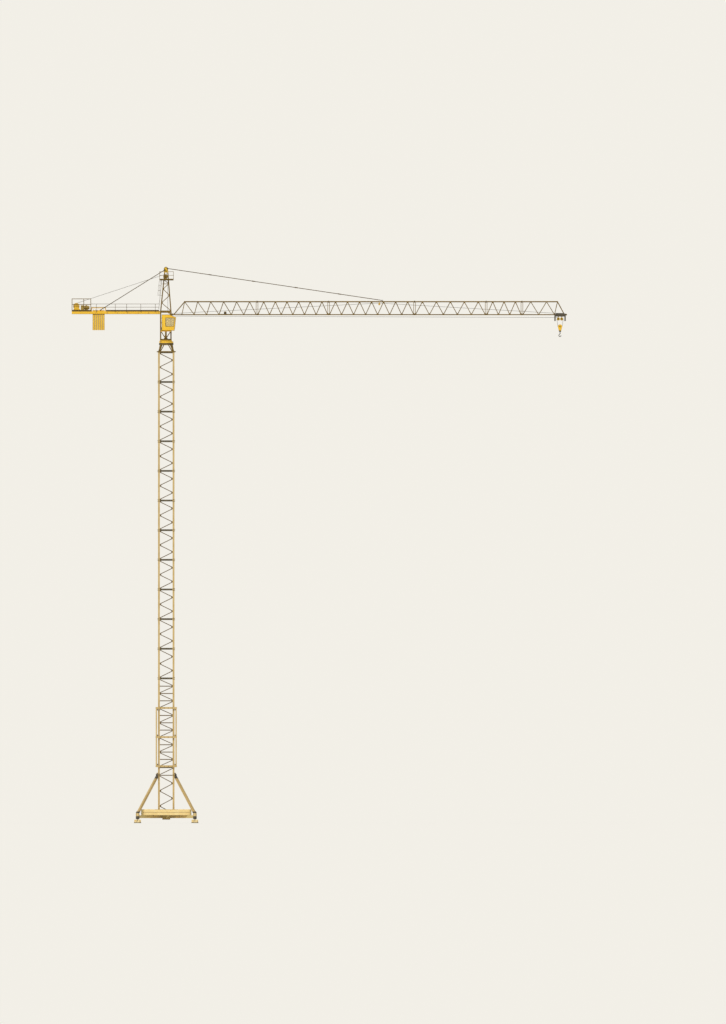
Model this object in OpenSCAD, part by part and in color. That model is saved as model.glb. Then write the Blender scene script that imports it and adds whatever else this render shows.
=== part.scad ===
// Tower crane on a cross base, at half of its real size, in millimetres.
// The origin is on the slewing axis at ground level, +X runs out along the jib and +Z is up.

/* [Base] */
// Distance between foot centres, along X and along Y
foot_spacing = 4000; // [3800:20:4400]
// Width of a foot's sole plate
shoe_w = 500; // [470:10:560]
// Thickness of the sole plate
sole_t = 40; // [25:5:60]
// Width of the shoe's block at its foot
block_w = 370; // [330:5:380]
// Width of the shoe's block at its top
block_top_w = 250; // [200:5:300]
// Height of a shoe
shoe_h = 240; // [200:5:300]
// Radius of an anchor hole
anchor_r = 16; // [10:1:20]
// Distance from an anchor hole to its foot's centre, along X and along Y
anchor_offset = 215; // [205:1:218]
// Radius of the levelling screw under a corner head
screw_r = 55; // [40:1:70]
// Visible length of the levelling screw
screw_l = 35; // [20:1:80]
// Width of a corner head
head_w = 180; // [170:2:220]
// Height of a corner head
corner_head_h = 450; // [400:5:520]
// Height of a cross beam
beam_h = 195; // [150:5:240]
// Width of a cross beam
beam_w = 160; // [120:2:164]
// Distance from the underside of a corner head up to the underside of a beam
beam_rise = 70; // [40:2:100]
// Width of the plate under the crossing of the beams
crossing_w = 614; // [500:2:700]
// Thickness of the plate under the crossing
crossing_t = 105; // [60:1:120]

/* [Ballast] */
// Length of the square ring of slabs, along X and along Y
ballast_l = 3254; // [3000:2:3300]
// Width of a ballast slab
slab_w = 800; // [600:5:900]
// Thickness of a lower slab
slab_lower_t = 205; // [150:1:260]
// Thickness of an upper slab
slab_upper_t = 212; // [150:1:260]
// Gap between neighbouring slabs of a layer
slab_gap = 6; // [3:1:20]
// Chamfer along the upper edges of a slab
slab_chamfer = 16; // [8:1:24]
// Width of the stop post at each corner of the ballast
stop_w = 90; // [60:2:110]

/* [Mast] */
// Width of the mast over its chords
mast_w = 1150; // [1100:2:1180]
// Width of a mast chord
chord_w = 130; // [100:1:150]
// Width of a mast diagonal
brace_w = 54; // [36:1:60]
// Width of a mast horizontal
joint_bar_w = 66; // [62:1:80]
// Depth of a mast horizontal
joint_bar_h = 64; // [40:1:80]
// Height of a standard mast section
section_h = 2070; // [1950:5:2200]
// Height of the long section on the base
base_section_h = 6200; // [6000:10:6400]
// Height of the mast's foot, from the ground
foot_section_top = 3900; // [3850:5:4100]
// Height of the collar that carries the struts, from the ground
strut_top = 3380; // [3300:5:3420]
// Width of a strut
strut_w = 150; // [110:2:160]

/* [Climbing frame] */
// Height of the climbing frame
climb_h = 4200; // [3900:10:4400]
// Width of the climbing frame
climb_w = 1470; // [1440:2:1520]
// Width of its corner posts
climb_post_w = 90; // [70:1:100]
// Width of its braces
climb_brace_w = 44; // [30:1:54]
// Height of its collars
collar_h = 130; // [100:2:180]

/* [Slewing ring] */
// Height of the ring's support over the mast
ring_support_h = 660; // [620:5:720]
// Height of the flange frame on the mast
flange_h = 90; // [60:2:110]
// How far the flange frame stands out past the mast
flange_proud = 30; // [10:1:50]
// Outer radius of the slewing ring
ring_r = 500; // [470:2:520]
// Inner radius of the slewing ring
ring_hole_r = 350; // [300:2:380]
// Height of the lower ring
ring_h = 150; // [110:2:180]
// Height of the upper ring
upper_ring_h = 110; // [80:2:140]
// Running gap between the two rings
bearing_gap = 0.5; // [0.3:0.1:1]
// Width of a leg of the ring's support
ring_leg_w = 90; // [70:1:110]

/* [Slewing tower] */
// Thickness of the deck on the upper ring
platform_t = 80; // [60:1:110]
// Height of the slewing tower over its deck
tower_h = 2000; // [1950:5:2100]
// Distance from the slewing axis back to the rear posts
post_rear = 392; // [380:2:420]
// Distance from the slewing axis forward to the front posts
post_front = 330; // [320:2:360]
// Distance from the middle plane to the posts
post_side = 350; // [340:2:380]
// Width of a post
post_w = 90; // [70:1:100]
// Width of a brace of the slewing tower
tower_brace_w = 56; // [40:1:64]
// Height of the jib's pins over the slewing deck
pin_h = 1780; // [1740:5:1800]
// Distance from the slewing axis forward to the jib's pins
pin_x = 446; // [440:1:470]

/* [Cab] */
// Width of the cab
cab_w = 700; // [640:5:800]
// Thickness of the cab's walls
cab_wall = 30; // [20:1:36]
// Height of the cab's floor over the slewing deck
cab_floor_h = 674; // [660:2:700]
// Height of the cab's roof over its underside, at the back
cab_h = 1106; // [1080:2:1120]
// Height of the top of the windscreen over the cab's underside
cab_front_h = 915; // [880:2:940]
// Distance from the slewing axis back to the cab's rear wall
cab_rear = 307; // [290:1:320]
// Distance from the slewing axis forward to the foot of the windscreen
cab_front = 566; // [540:1:580]
// How far the windscreen leans out
cab_lean = 104; // [80:1:120]
// Distance from the slewing axis forward to where the roof starts to fall
cab_roof_break = 223; // [180:1:260]
// Gap between the cab and the slewing tower
cab_gap = 30; // [20:1:60]
// Thickness of the glass
glass_t = 8; // [5:1:12]
// Thickness of a cab bracket
cab_bracket_h = 70; // [50:1:90]

/* [Tower head] */
// Height of the tower head's legs
head_h = 2760; // [2700:5:2820]
// Distance from the slewing axis to the legs' upper ends, along X
head_top_x = 105; // [100:1:120]
// Distance from the middle plane to the legs' upper ends
head_top_y = 120; // [110:1:130]
// Width of a leg
head_leg_w = 80; // [60:1:90]
// Width of a brace of the head
head_brace_w = 44; // [30:1:54]
// Height of the apex plates
apex_h = 360; // [340:2:400]
// Thickness of an apex plate
apex_t = 30; // [20:1:36]
// Radius of the apex plates' round top
apex_r = 150; // [130:1:160]
// Share of the head's height up to the service platform
service_share = 0.8087; // [0.79:0.0001:0.82]
// Length of the service platform
service_l = 999; // [960:1:1040]
// Width of the service platform
service_w = 960; // [900:2:1040]
// Thickness of the platform's floor
service_t = 26; // [16:1:36]
// Height of a handrail
rail_h = 565; // [500:5:600]
// Width of a handrail post
rail_w = 26; // [18:1:34]

/* [Ladder] */
// Width of the ladder between its stiles
ladder_w = 220; // [180:2:260]
// Distance between rungs
rung_step = 140; // [120:2:170]
// Distance from the head's rear legs to the ladder
ladder_gap = 110; // [90:1:140]
// Radius of the ladder's cage
cage_r = 180; // [150:1:200]

/* [Jib] */
// Distance between the centres of the lower chords
jib_w = 680; // [660:2:696]
// Height of the upper chord's centre over the lower chords' centres
jib_depth = 905; // [880:1:930]
// Width of a lower chord
jib_chord_w = 70; // [60:1:76]
// Diameter of the upper chord
top_chord_d = 84; // [70:1:92]
// Width of a jib diagonal
jib_brace_w = 38; // [26:1:46]
// Distance from a section's end to the face of its end frame
frame_gap = 43; // [30:1:50]
// Width of the rail outside each lower chord
jib_rail_w = 45; // [40:1:52]
// Thickness of that rail
jib_rail_t = 20; // [14:1:26]
// How far the jib reaches past the hook's place
tip_overhang = 490; // [470:5:560]
// Share of the jib's length up to its first joint
joint_share_1 = 0.214; // [0.205:0.001:0.225]
// Share of the jib's length up to its second joint
joint_share_2 = 0.3955; // [0.385:0.0005:0.405]
// Share of the jib's length up to its third joint
joint_share_3 = 0.6134; // [0.605:0.0001:0.62]
// Share of the jib's length up to its fourth joint
joint_share_4 = 0.7949; // [0.785:0.0001:0.805]
// Share of the jib's length up to its fifth joint
joint_share_5 = 0.8856; // [0.88:0.0001:0.89]
// Share of the jib's length out to the foot of its tie
tie_share = 0.532; // [0.52:0.001:0.55]
// Distance from the tie's foot back to the pulley under the upper chord
mid_pulley_back = 220; // [180:5:400]
// Distance from the jib's pins to its first floor bar
root_bay = 647; // [620:1:680]
// Diameter of a tie rod
tie_d = 46; // [36:1:56]

/* [Counter-jib] */
// Distance from the slewing axis to the counter-jib's rear end
tail_radius = 6600; // [6560:5:6800]
// Distance from the middle plane to a girder's centre
girder_y = 370; // [350:2:380]
// Height of a girder
girder_h = 190; // [150:2:220]
// Width of a girder
girder_w = 80; // [60:1:90]
// Height of the deck over the jib's pins
deck_rise = 260; // [250:1:280]
// Thickness of the deck's grating
deck_t = 20; // [12:1:28]
// Distance from the rear end to the counterweights' middle
weight_back = 1876; // [1850:2:1900]
// Number of counterweight slabs
weight_count = 6; // [4:1:6]
// Thickness of a counterweight slab
weight_t = 136; // [120:1:138]
// Distance between neighbouring counterweight slabs
weight_step = 141; // [140:1:144]
// Height of a counterweight slab below the girders
weight_h = 1130; // [1000:5:1200]
// Width of a counterweight slab
weight_w = 1000; // [900:5:1100]
// Distance from the counterweights' middle forward to the foot of a tie
tie_foot_ahead = 106; // [90:1:130]
// Length of the winch guard
guard_l = 1353; // [1300:1:1400]
// Length of the guard's rear bay
guard_rear_l = 863; // [800:1:900]
// Height of the winch guard
guard_h = 866; // [840:1:890]

/* [Hoist winch] */
// Distance from the rear end of the counter-jib to the drum's axis
drum_back = 323; // [310:1:340]
// Height of the drum's axis over the deck
drum_rise = 335; // [320:1:350]
// Radius of the drum
drum_r = 180; // [160:1:190]
// Radius of the drum's flanges
drum_flange_r = 222; // [210:1:230]
// Length of the drum between its flanges
drum_l = 440; // [380:2:460]
// Radius of the drum's shaft
drum_shaft_r = 30; // [20:1:36]
// Diameter of the hoist rope
rope_d = 20; // [14:1:26]

/* [Trolley and hook] */
// Distance from the slewing axis to the hook
hook_radius = 27500; // [27300:20:27600]
// Distance from the trolley's rails down to the hook's seat, at rest
hook_drop = 1485.5; // [1450:0.5:1700]
// Length of the trolley's cheeks
trolley_l = 620; // [600:5:660]
// Distance from the trolley's middle to the middle of a leg, along X
leg_x = 352; // [345:1:360]
// Width of a leg
leg_w = 96; // [80:2:110]
// Distance from the underside of the jib down to the legs' feet
leg_drop = 400; // [370:5:420]
// Radius of a trolley wheel
wheel_r = 60; // [50:1:66]
// Radius of a trolley sheave
trolley_sheave_r = 96; // [86:1:100]
// Distance from the trolley's middle to a sheave's axis
sheave_x = 117; // [114:1:122]
// Radius of the hook block's sheave
block_sheave_r = 136; // [130:1:156]
// Distance from the hook's seat up to the block sheave's axis
block_rise = 670; // [650:1:690]
// Radius of the hook's bowl
bowl_r = 56; // [46:1:62]
// Thickness of the hook at the bottom of its bowl
hook_t = 52; // [44:1:56]
// Diameter of the hook's shank
shank_d = 50; // [40:1:56]

/* [Hidden] */
mast_count = 11;
fit = 0.3;
seat = 0.05;

// Heights over the ground
beam_z = shoe_h + screw_l + beam_rise;
beam_top = beam_z + beam_h;
corner_head_top = shoe_h + screw_l + corner_head_h;
mast_start = foot_section_top + base_section_h;
mast_top = mast_start + mast_count * section_h;
ring_z = mast_top + ring_support_h;
slew_deck_top = ring_z + bearing_gap + upper_ring_h + platform_t;
head_z = slew_deck_top + tower_h;
pin_z = slew_deck_top + pin_h;
top_chord_z = pin_z + jib_depth;
head_top = head_z + head_h;
deck_z = pin_z + deck_rise;
drum_z = deck_z + drum_rise;
service_h = round(service_share * head_h);
service_z = head_z + service_h;

// Places along the jib
jib_l = hook_radius + tip_overhang - pin_x;
function jib_place(share) = pin_x + round(share * jib_l);
jib_x1 = jib_place(joint_share_1);
jib_x2 = jib_place(joint_share_2);
jib_x3 = jib_place(joint_share_3);
jib_x4 = jib_place(joint_share_4);
jib_x5 = jib_place(joint_share_5);
jib_x6 = jib_place(1);
tie_x = jib_place(tie_share);

// Places along the counter-jib
drum_x = tail_radius - drum_back;
weight_x = tail_radius - weight_back;
girder_start = post_rear + post_w / 2;
weight_hole = weight_count * weight_step + 60;
weights_rear = weight_x + weight_hole / 2 + 10;
weights_front = weight_x - weight_hole / 2 - 10 - girder_w;
keeper_w = 50;
keeper_h = 240;
keeper_y = girder_y - girder_w / 2 - keeper_w;
keeper_rear = -weights_rear - keeper_w;
keeper_front = keeper_w - weights_front - girder_w;
lug_w = 30;
tie_foot_h = 60;
tie_foot_x = tie_foot_ahead - weight_x;
guard_front = tail_radius - guard_l;
guard_mid = tail_radius - guard_rear_l;
deck_edge = girder_y + girder_w / 2 + 40;

steel = "goldenrod";
mast_steel = "wheat";
dark = "dimgray";
concrete = "darkgray";

module bar(a, b, w) {
    d = b - a;
    l = norm(d);
    translate(a)
        rotate([0, acos(d.z / l), atan2(d.y, d.x)])
            translate([-w / 2, -w / 2, 0])
                cube([w, w, l]);
}

module rod(a, b, d, sides = 12) {
    v = b - a;
    l = norm(v);
    translate(a)
        rotate([0, acos(v.z / l), atan2(v.y, v.x)])
            cylinder(d = d, h = l, $fn = sides);
}

module box(low, high) {
    translate(low)
        cube(high - low);
}

// An upright bar
module upright(x, y, z0, z1, w) {
    box([x - w / 2, y - w / 2, z0], [x + w / 2, y + w / 2, z1]);
}

// A level bar along X
module along(x0, x1, y, z0, z1, w) {
    box([x0, y - w / 2, z0], [x1, y + w / 2, z1]);
}

module across(y0, y1, r, x, z, sides = 48) {
    translate([x, y0, z])
        rotate([-90, 0, 0])
            cylinder(r = r, h = y1 - y0, $fn = sides);
}

module mirror_y() {
    children();
    mirror([0, 1, 0])
        children();
}

module each_face() {
    for (turn = [0, 90])
        rotate([0, 0, turn])
            mirror_y()
                children();
}

module four_ways() {
    for (side = [0:3])
        rotate([0, 0, 90 * side])
            children();
}

// Base
module foot_shoe() {
    difference() {
        union() {
            translate([-shoe_w / 2, -shoe_w / 2, 0])
                cube([shoe_w, shoe_w, sole_t]);
            intersection() {
                shoe_wedge();
                rotate([0, 0, 90])
                    shoe_wedge();
            }
        }
        for (s = [-1, 1])
            translate([s * anchor_offset, s * anchor_offset, -1])
                cylinder(r = anchor_r, h = sole_t + 2, $fn = 32);
    }
}

module shoe_wedge() {
    translate([0, shoe_w / 2, 0])
        rotate([90, 0, 0])
            linear_extrude(height = shoe_w)
                polygon([
                    [-block_w / 2, sole_t / 2],
                    [block_w / 2, sole_t / 2],
                    [block_w / 2, sole_t],
                    [block_top_w / 2, shoe_h],
                    [-block_top_w / 2, shoe_h],
                    [-block_w / 2, sole_t]
                ]);
}

module at_feet() {
    four_ways()
        translate([foot_spacing / 2, foot_spacing / 2, 0])
            children();
}

module foot_shoes() {
    color(mast_steel)
        at_feet()
            foot_shoe();
}

module corner_heads() {
    color(dark)
        at_feet() {
            translate([0, 0, shoe_h])
                cylinder(r = screw_r, h = screw_l + 1, $fn = 32);
            rotate([0, 0, 45])
                translate([-head_w / 2, -head_w / 2, shoe_h + screw_l])
                    cube([head_w, head_w, corner_head_h]);
        }
}

half_diagonal = foot_spacing / sqrt(2);
stop_place = ballast_l / sqrt(2) + stop_w;

module beam_half(start) {
    box([start, -beam_w / 2, beam_z], [half_diagonal - head_w / 2 - seat, beam_w / 2, beam_top]);
    upright(stop_place, 0, beam_top - 1, beam_top + slab_lower_t + slab_upper_t, stop_w);
}

module cross_beam() {
    color(dark) {
        for (turn = [45, 225])
            rotate([0, 0, turn])
                beam_half(-1);
        rotate([0, 0, 45])
            along(-crossing_w / 2, crossing_w / 2, 0, beam_z - crossing_t, beam_z, beam_w);
    }
}

module cross_arms() {
    color(dark)
        for (turn = [135, 315])
            rotate([0, 0, turn])
                beam_half(beam_w / 2);
}

strut_head = [mast_w / 2 - 40, mast_w / 2 - 40, strut_top + 75];
strut_foot = [foot_spacing / 2 + 20, foot_spacing / 2 + 20, corner_head_top - 95];
shoe_share = 0.055;
shoe_wall = 22;

module strut() {
    way = strut_foot - strut_head;
    bar(strut_head, strut_foot, strut_w);
    for (t = [0, 1 - shoe_share])
        let (a = strut_head + t * way, b = a + shoe_share * way)
            bar(a, b, strut_w + 2 * shoe_wall);
}

module struts() {
    color(mast_steel)
        difference() {
            four_ways()
                strut();
            translate([-mast_w / 2 - seat, -mast_w / 2 - seat, beam_top])
                cube([mast_w + 2 * seat, mast_w + 2 * seat, foot_section_top]);
            at_feet()
                rotate([0, 0, 45])
                    translate([-2 * head_w, -2 * head_w, 0])
                        cube([4 * head_w, 4 * head_w, corner_head_top + seat]);
        }
}

module slab(l, w, t) {
    translate([0, w / 2, 0])
        rotate([90, 0, 0])
            linear_extrude(height = w)
                polygon([
                    [-l / 2, 0],
                    [l / 2, 0],
                    [l / 2, t - slab_chamfer],
                    [l / 2 - slab_chamfer, t],
                    [slab_chamfer - l / 2, t],
                    [-l / 2, t - slab_chamfer]
                ]);
}

module slab_ring(z, t) {
    inner = ballast_l - 2 * slab_w - 2 * slab_gap;
    translate([0, 0, z])
        for (s = [-1, 1]) {
            translate([0, s * (ballast_l - slab_w) / 2, 0])
                slab(ballast_l, slab_w, t);
            translate([s * (ballast_l - slab_w) / 2, 0, 0])
                rotate([0, 0, 90])
                    slab(inner, slab_w, t);
        }
}

module ballast_lower() {
    color(concrete)
        slab_ring(beam_top + seat, slab_lower_t);
}

module ballast_upper() {
    color(concrete)
        rotate([0, 0, 90])
            slab_ring(beam_top + slab_lower_t + 2 * seat, slab_upper_t);
}

// Mast
module chords(w, c, z0, z1) {
    four_ways()
        box([w / 2 - c, w / 2 - c, z0], [w / 2, w / 2, z1]);
}

module ring_bars(w, c, b, z0, z1) {
    four_ways()
        box([c - w / 2, -(w - c + b) / 2, z0], [w / 2 - c, -(w - c - b) / 2, z1]);
}

module zigzag(w, c, b, z0, z1, steps, first) {
    reach = w / 2 - c * 0.6;
    face = (w - c) / 2;
    for (i = [0:steps - 1])
        let (
            s = i % 2 == 0 ? first : -first,
            low = z0 + (z1 - z0) * i / steps,
            high = z0 + (z1 - z0) * (i + 1) / steps
        )
            bar([s * reach, -face, low], [-s * reach, -face, high], b);
}

module mast_section() {
    chords(mast_w, chord_w, 0, section_h);
    ring_bars(mast_w, chord_w, joint_bar_w, 0, joint_bar_h);
    ring_bars(mast_w, chord_w, joint_bar_w, section_h - joint_bar_h, section_h);
    each_face()
        zigzag(mast_w, chord_w, brace_w, joint_bar_h, section_h - joint_bar_h, 4, -1);
}

module mast_section_at(number) {
    color(mast_steel)
        translate([0, 0, mast_start + (number - 1) * section_h])
            mast_section();
}

module base_section() {
    panels = 12;
    step = (base_section_h - joint_bar_h) / panels;
    color(mast_steel)
        translate([0, 0, foot_section_top]) {
            chords(mast_w, chord_w, 0, base_section_h);
            for (i = [0:panels])
                ring_bars(mast_w, chord_w, joint_bar_w, i * step, i * step + joint_bar_h);
            each_face()
                for (i = [0:panels - 1])
                    let (s = i % 2 == 0 ? -1 : 1)
                        zigzag(mast_w, chord_w, brace_w, i * step + joint_bar_h, (i + 1) * step, 1, s);
        }
}

module foot_section() {
    collar_z = strut_top - 80;
    color(mast_steel) {
        chords(mast_w, chord_w, beam_top + seat, foot_section_top);
        ring_bars(mast_w, chord_w, joint_bar_w, beam_top + seat, beam_top + joint_bar_h);
        ring_bars(mast_w, chord_w, joint_bar_w, collar_z, collar_z + joint_bar_h);
        ring_bars(mast_w, chord_w, joint_bar_w, foot_section_top - joint_bar_h, foot_section_top);
        each_face() {
            zigzag(mast_w, chord_w, brace_w, beam_top + 2 * joint_bar_h, collar_z, 5, 1);
            zigzag(
                mast_w, chord_w, brace_w,
                collar_z + joint_bar_h, foot_section_top - joint_bar_h, 1, -1
            );
        }
    }
}

module climbing_frame() {
    z0 = foot_section_top;
    panels = 4;
    step = (climb_h - collar_h) / panels;
    post = (climb_w - climb_post_w) / 2;
    color(steel) {
        four_ways()
            box(
                [climb_w / 2 - climb_post_w, climb_w / 2 - climb_post_w, z0],
                [climb_w / 2, climb_w / 2, z0 + climb_h]
            );
        for (i = [0, panels / 2, panels])
            difference() {
                box(
                    [-climb_w / 2, -climb_w / 2, z0 + i * step],
                    [climb_w / 2, climb_w / 2, z0 + i * step + collar_h]
                );
                box(
                    [-mast_w / 2, -mast_w / 2, z0 + i * step - 1],
                    [mast_w / 2, mast_w / 2, z0 + i * step + collar_h + 1]
                );
            }
        rotate([0, 0, 90])
            mirror_y()
                for (i = [0:panels - 1])
                    let (s = i % 2 == 0 ? 1 : -1)
                        bar(
                            [s * post, -post, z0 + i * step + collar_h / 2],
                            [-s * post, -post, z0 + (i + 1) * step + collar_h / 2],
                            climb_brace_w
                        );
    }
}

// Slewing ring
module ring_support() {
    low = mast_w / 2 - chord_w / 2;
    high = (ring_r + ring_hole_r) / 2 / sqrt(2);
    z0 = mast_top;
    z1 = ring_z - ring_h;
    color(steel) {
        difference() {
            box(
                [-mast_w / 2 - flange_proud, -mast_w / 2 - flange_proud, z0],
                [mast_w / 2 + flange_proud, mast_w / 2 + flange_proud, z0 + flange_h]
            );
            box(
                [chord_w - mast_w / 2, chord_w - mast_w / 2, z0 - 1],
                [mast_w / 2 - chord_w, mast_w / 2 - chord_w, z0 + flange_h + 1]
            );
        }
        four_ways() {
            bar([low, low, z0 + flange_h / 2], [high, high, z1 + ring_h / 2], ring_leg_w);
            for (s = [-1, 1])
                bar(
                    [s * (low - ring_leg_w), -low, z0 + flange_h / 2],
                    [s * 120, -(ring_r + ring_hole_r) / 2 + 15, z1 + ring_h / 2],
                    ring_leg_w * 0.6
                );
            box([mast_w / 2, -60, z0 + 10], [mast_w / 2 + flange_proud + 60, 60, z0 + flange_h - 15]);
        }
        translate([0, 0, z1])
            difference() {
                cylinder(r = ring_r, h = ring_h, $fn = 96);
                translate([0, 0, -1])
                    cylinder(r = ring_hole_r, h = ring_h + 2, $fn = 96);
            }
    }
}

manhole_y = 130;
manhole_r = 170;

module slewing_deck() {
    z0 = ring_z + bearing_gap;
    color(steel)
        difference() {
            union() {
                translate([0, 0, z0])
                    cylinder(r = ring_r, h = upper_ring_h, $fn = 96);
                box(
                    [-post_rear - post_w / 2 - 20, -post_side - post_w / 2 - 20, z0 + upper_ring_h],
                    [post_front + post_w / 2 + 20, post_side + post_w / 2 + 20, slew_deck_top]
                );
            }
            translate([0, 0, z0 - 1])
                cylinder(r = ring_hole_r - 90, h = upper_ring_h + 1, $fn = 96);
            translate([0, manhole_y, z0])
                cylinder(r = manhole_r, h = upper_ring_h + platform_t + 1, $fn = 64);
        }
}

module slewing_tower() {
    inner = post_w / 2;
    mid_z = slew_deck_top + 660;
    color(steel) {
        for (x = [-post_rear, post_front])
            for (s = [-1, 1])
                upright(x, s * post_side, slew_deck_top, head_z, post_w);
        for (z = [mid_z, head_z - post_w]) {
            for (s = [-1, 1])
                along(-post_rear, post_front, s * post_side, z, z + post_w, post_w);
            for (x = [-post_rear, post_front])
                box([x - inner, -post_side, z], [x + inner, post_side, z + post_w]);
        }
        for (s = [-1, 1]) {
            for (x = [-post_rear, post_front])
                bar(
                    [x, s * post_side, mid_z],
                    [(post_front - post_rear) / 2, s * post_side, slew_deck_top + 80],
                    tower_brace_w
                );
            bar(
                [-post_rear, s * post_side, mid_z + post_w],
                [post_front, s * post_side, head_z - post_w],
                tower_brace_w
            );
            along(-post_rear, post_front, s * post_side, slew_deck_top, slew_deck_top + post_w, post_w);
        }
        bar(
            [-post_rear, -post_side, slew_deck_top + 40],
            [-post_rear, post_side, mid_z],
            tower_brace_w
        );
        mirror_y()
            jib_pin_lugs();
    }
}

eye_l = jib_chord_w;
lug_t = 22;
jib_eye_r = 56;
jib_pin_r = 26;

module jib_pin_lugs() {
    inner = jib_w / 2 - eye_l / 2 - fit;
    outer = jib_w / 2 + eye_l / 2 + fit;
    for (y = [[inner - lug_t, inner], [outer, outer + lug_t]])
        difference() {
            union() {
                box(
                    [post_front + post_w / 2 - 1, y[0], pin_z - jib_eye_r],
                    [pin_x, y[1], pin_z + jib_eye_r]
                );
                across(y[0], y[1], jib_eye_r, pin_x, pin_z);
                if (y[0] > jib_w / 2)
                    box(
                        [post_front, y[0] - 30, pin_z - jib_eye_r],
                        [post_front + post_w / 2, y[1], pin_z + jib_eye_r]
                    );
            }
            across(y[0] - 60, y[0] - 0.01, jib_eye_r * 2, pin_x + jib_eye_r * 2, pin_z);
        }
    across(inner - lug_t - 8, outer + lug_t + 8, jib_pin_r, pin_x, pin_z);
}

module slewing_gear() {
    x = (post_front - post_rear) / 2 + 5;
    y = post_w / 2 + 115 - post_side;
    color(dark)
        translate([x, y, slew_deck_top]) {
            cylinder(r = 112, h = 60, $fn = 48);
            cylinder(r = 92, h = 300, $fn = 48);
            cylinder(r = 66, h = 560, $fn = 48);
            translate([0, 0, 560])
                cylinder(r = 74, h = 40, $fn = 48);
        }
}

// Cab
cab_z = slew_deck_top + cab_floor_h;
cab_inner_y = -post_side - post_w / 2 - cab_gap;
cab_outer_y = cab_inner_y - cab_w;

function cab_outline(t) = [
    [t - cab_rear, t],
    [cab_front - t, t],
    [cab_front + cab_lean - t, cab_front_h - t * 0.8],
    [cab_roof_break, cab_h - t],
    [t - cab_rear, cab_h - t]
];

module cab_body(t) {
    translate([0, cab_inner_y - t, cab_z])
        rotate([90, 0, 0])
            linear_extrude(height = cab_w - 2 * t)
                polygon(cab_outline(t));
}

window_low = 290;
window_high = 866;
window_rear = 49;
window_front = 538;
door_w = 420;
door_h = 960;

module side_window(y0, y1) {
    translate([0, y1, cab_z])
        rotate([90, 0, 0])
            linear_extrude(height = y1 - y0)
                polygon([
                    [-window_rear, window_low],
                    [window_front - 30, window_low],
                    [window_front + 50, window_high - 10],
                    [window_front - 60, window_high + 20],
                    [-window_rear, window_high + 20]
                ]);
}

module front_window(x_in, x_out) {
    low = 120;
    high = cab_front_h - 70;
    slope = cab_lean / cab_front_h;
    translate([0, cab_inner_y - 60, cab_z])
        rotate([90, 0, 0])
            linear_extrude(height = cab_w - 120)
                polygon([
                    [cab_front + slope * low + x_in, low],
                    [cab_front + slope * low + x_out, low],
                    [cab_front + slope * high + x_out, high],
                    [cab_front + slope * high + x_in, high]
                ]);
}

module cab_shell() {
    color(steel)
        difference() {
            cab_body(0);
            cab_body(cab_wall);
            side_window(cab_outer_y - 10, cab_outer_y + cab_wall + 10);
            side_window(cab_inner_y - cab_wall - 10, cab_inner_y + 10);
            front_window(-cab_wall - 20, 40);
            translate([-cab_rear - 10, (cab_inner_y + cab_outer_y - door_w) / 2, cab_z + cab_wall])
                cube([cab_wall + 20, door_w, door_h]);
        }
}

module cab_glass() {
    color("lightblue", 0.5) {
        side_window(cab_outer_y + 8, cab_outer_y + 8 + glass_t);
        side_window(cab_inner_y - 8 - glass_t, cab_inner_y - 8);
        front_window(-8 - glass_t, -8);
    }
}

module cab_door() {
    color(steel)
        translate([-cab_rear, (cab_inner_y + cab_outer_y - door_w) / 2, cab_z + cab_wall])
            cube([cab_wall, door_w, door_h]);
}

module cab_bracket() {
    color(dark)
        for (x = [-post_rear, post_front - 20])
            let (low = x < 0 ? -cab_rear + 20 : x)
                box(
                    [low - 35, cab_outer_y + 30, cab_z - cab_bracket_h],
                    [low + 35, -post_side - post_w / 2, cab_z]
                );
    color(dark)
        box(
            [-post_rear, cab_inner_y - 30, cab_z - cab_bracket_h],
            [post_front, -post_side - post_w / 2, cab_z]
        );
}

// Tower head
function head_rear(h) = post_rear + (head_top_x - post_rear) * h / head_h;
function head_front(h) = post_front + (head_top_x - post_front) * h / head_h;
function head_side(h) = post_side + (head_top_y - post_side) * h / head_h;

// A square leg that leans, with level ends
module leaning_leg(a, b, w) {
    corners = [[-1, -1], [1, -1], [1, 1], [-1, 1]];
    polyhedron(
        points = [for (end = [a, b], c = corners) [end.x + c.x * w / 2, end.y + c.y * w / 2, end.z]],
        faces = [[0, 1, 2, 3], [7, 6, 5, 4], [0, 4, 5, 1], [1, 5, 6, 2], [2, 6, 7, 3], [3, 7, 4, 0]]
    );
}

module head_legs() {
    for (s = [-1, 1], x = [[-post_rear, -head_top_x], [post_front, head_top_x]])
        leaning_leg([x[0], s * post_side, head_z], [x[1], s * head_top_y, head_top], head_leg_w);
}

module head_side_bar(h) {
    for (s = [-1, 1])
        bar(
            [-head_rear(h), s * head_side(h), head_z + h],
            [head_front(h), s * head_side(h), head_z + h],
            head_brace_w
        );
}

module head_cross_bar(h) {
    for (x = [-head_rear(h), head_front(h)])
        bar([x, -head_side(h), head_z + h], [x, head_side(h), head_z + h], head_brace_w);
}

// Heights of the head's bracing, as shares of its height
head_levels = [0.018, 0.221, 0.409, 0.569, 0.699, 0.808];
cross_levels = [0.409, 0.699];
pulley_level = 0.884;

module head_apex() {
    for (s = [-1, 1])
        translate([0, s * (head_top_y - 20) + apex_t / 2, head_top])
            rotate([90, 0, 0])
                linear_extrude(height = apex_t) {
                    translate([-20, apex_h - apex_r])
                        circle(r = apex_r, $fn = 64);
                    polygon([
                        [-head_top_x - 45, -30],
                        [head_top_x + 45, -30],
                        [apex_r - 35, apex_h - apex_r],
                        [-20 - apex_r, apex_h - apex_r]
                    ]);
                }
    for (p = [jib_tie_pin, counter_tie_pin])
        across(-head_top_y - 20, head_top_y + 20, 24, p.x, p.y);
}

jib_tie_pin = [62, head_top + 250];
counter_tie_pin = [-95, head_top + 150];

head_sill_w = 70;

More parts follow.
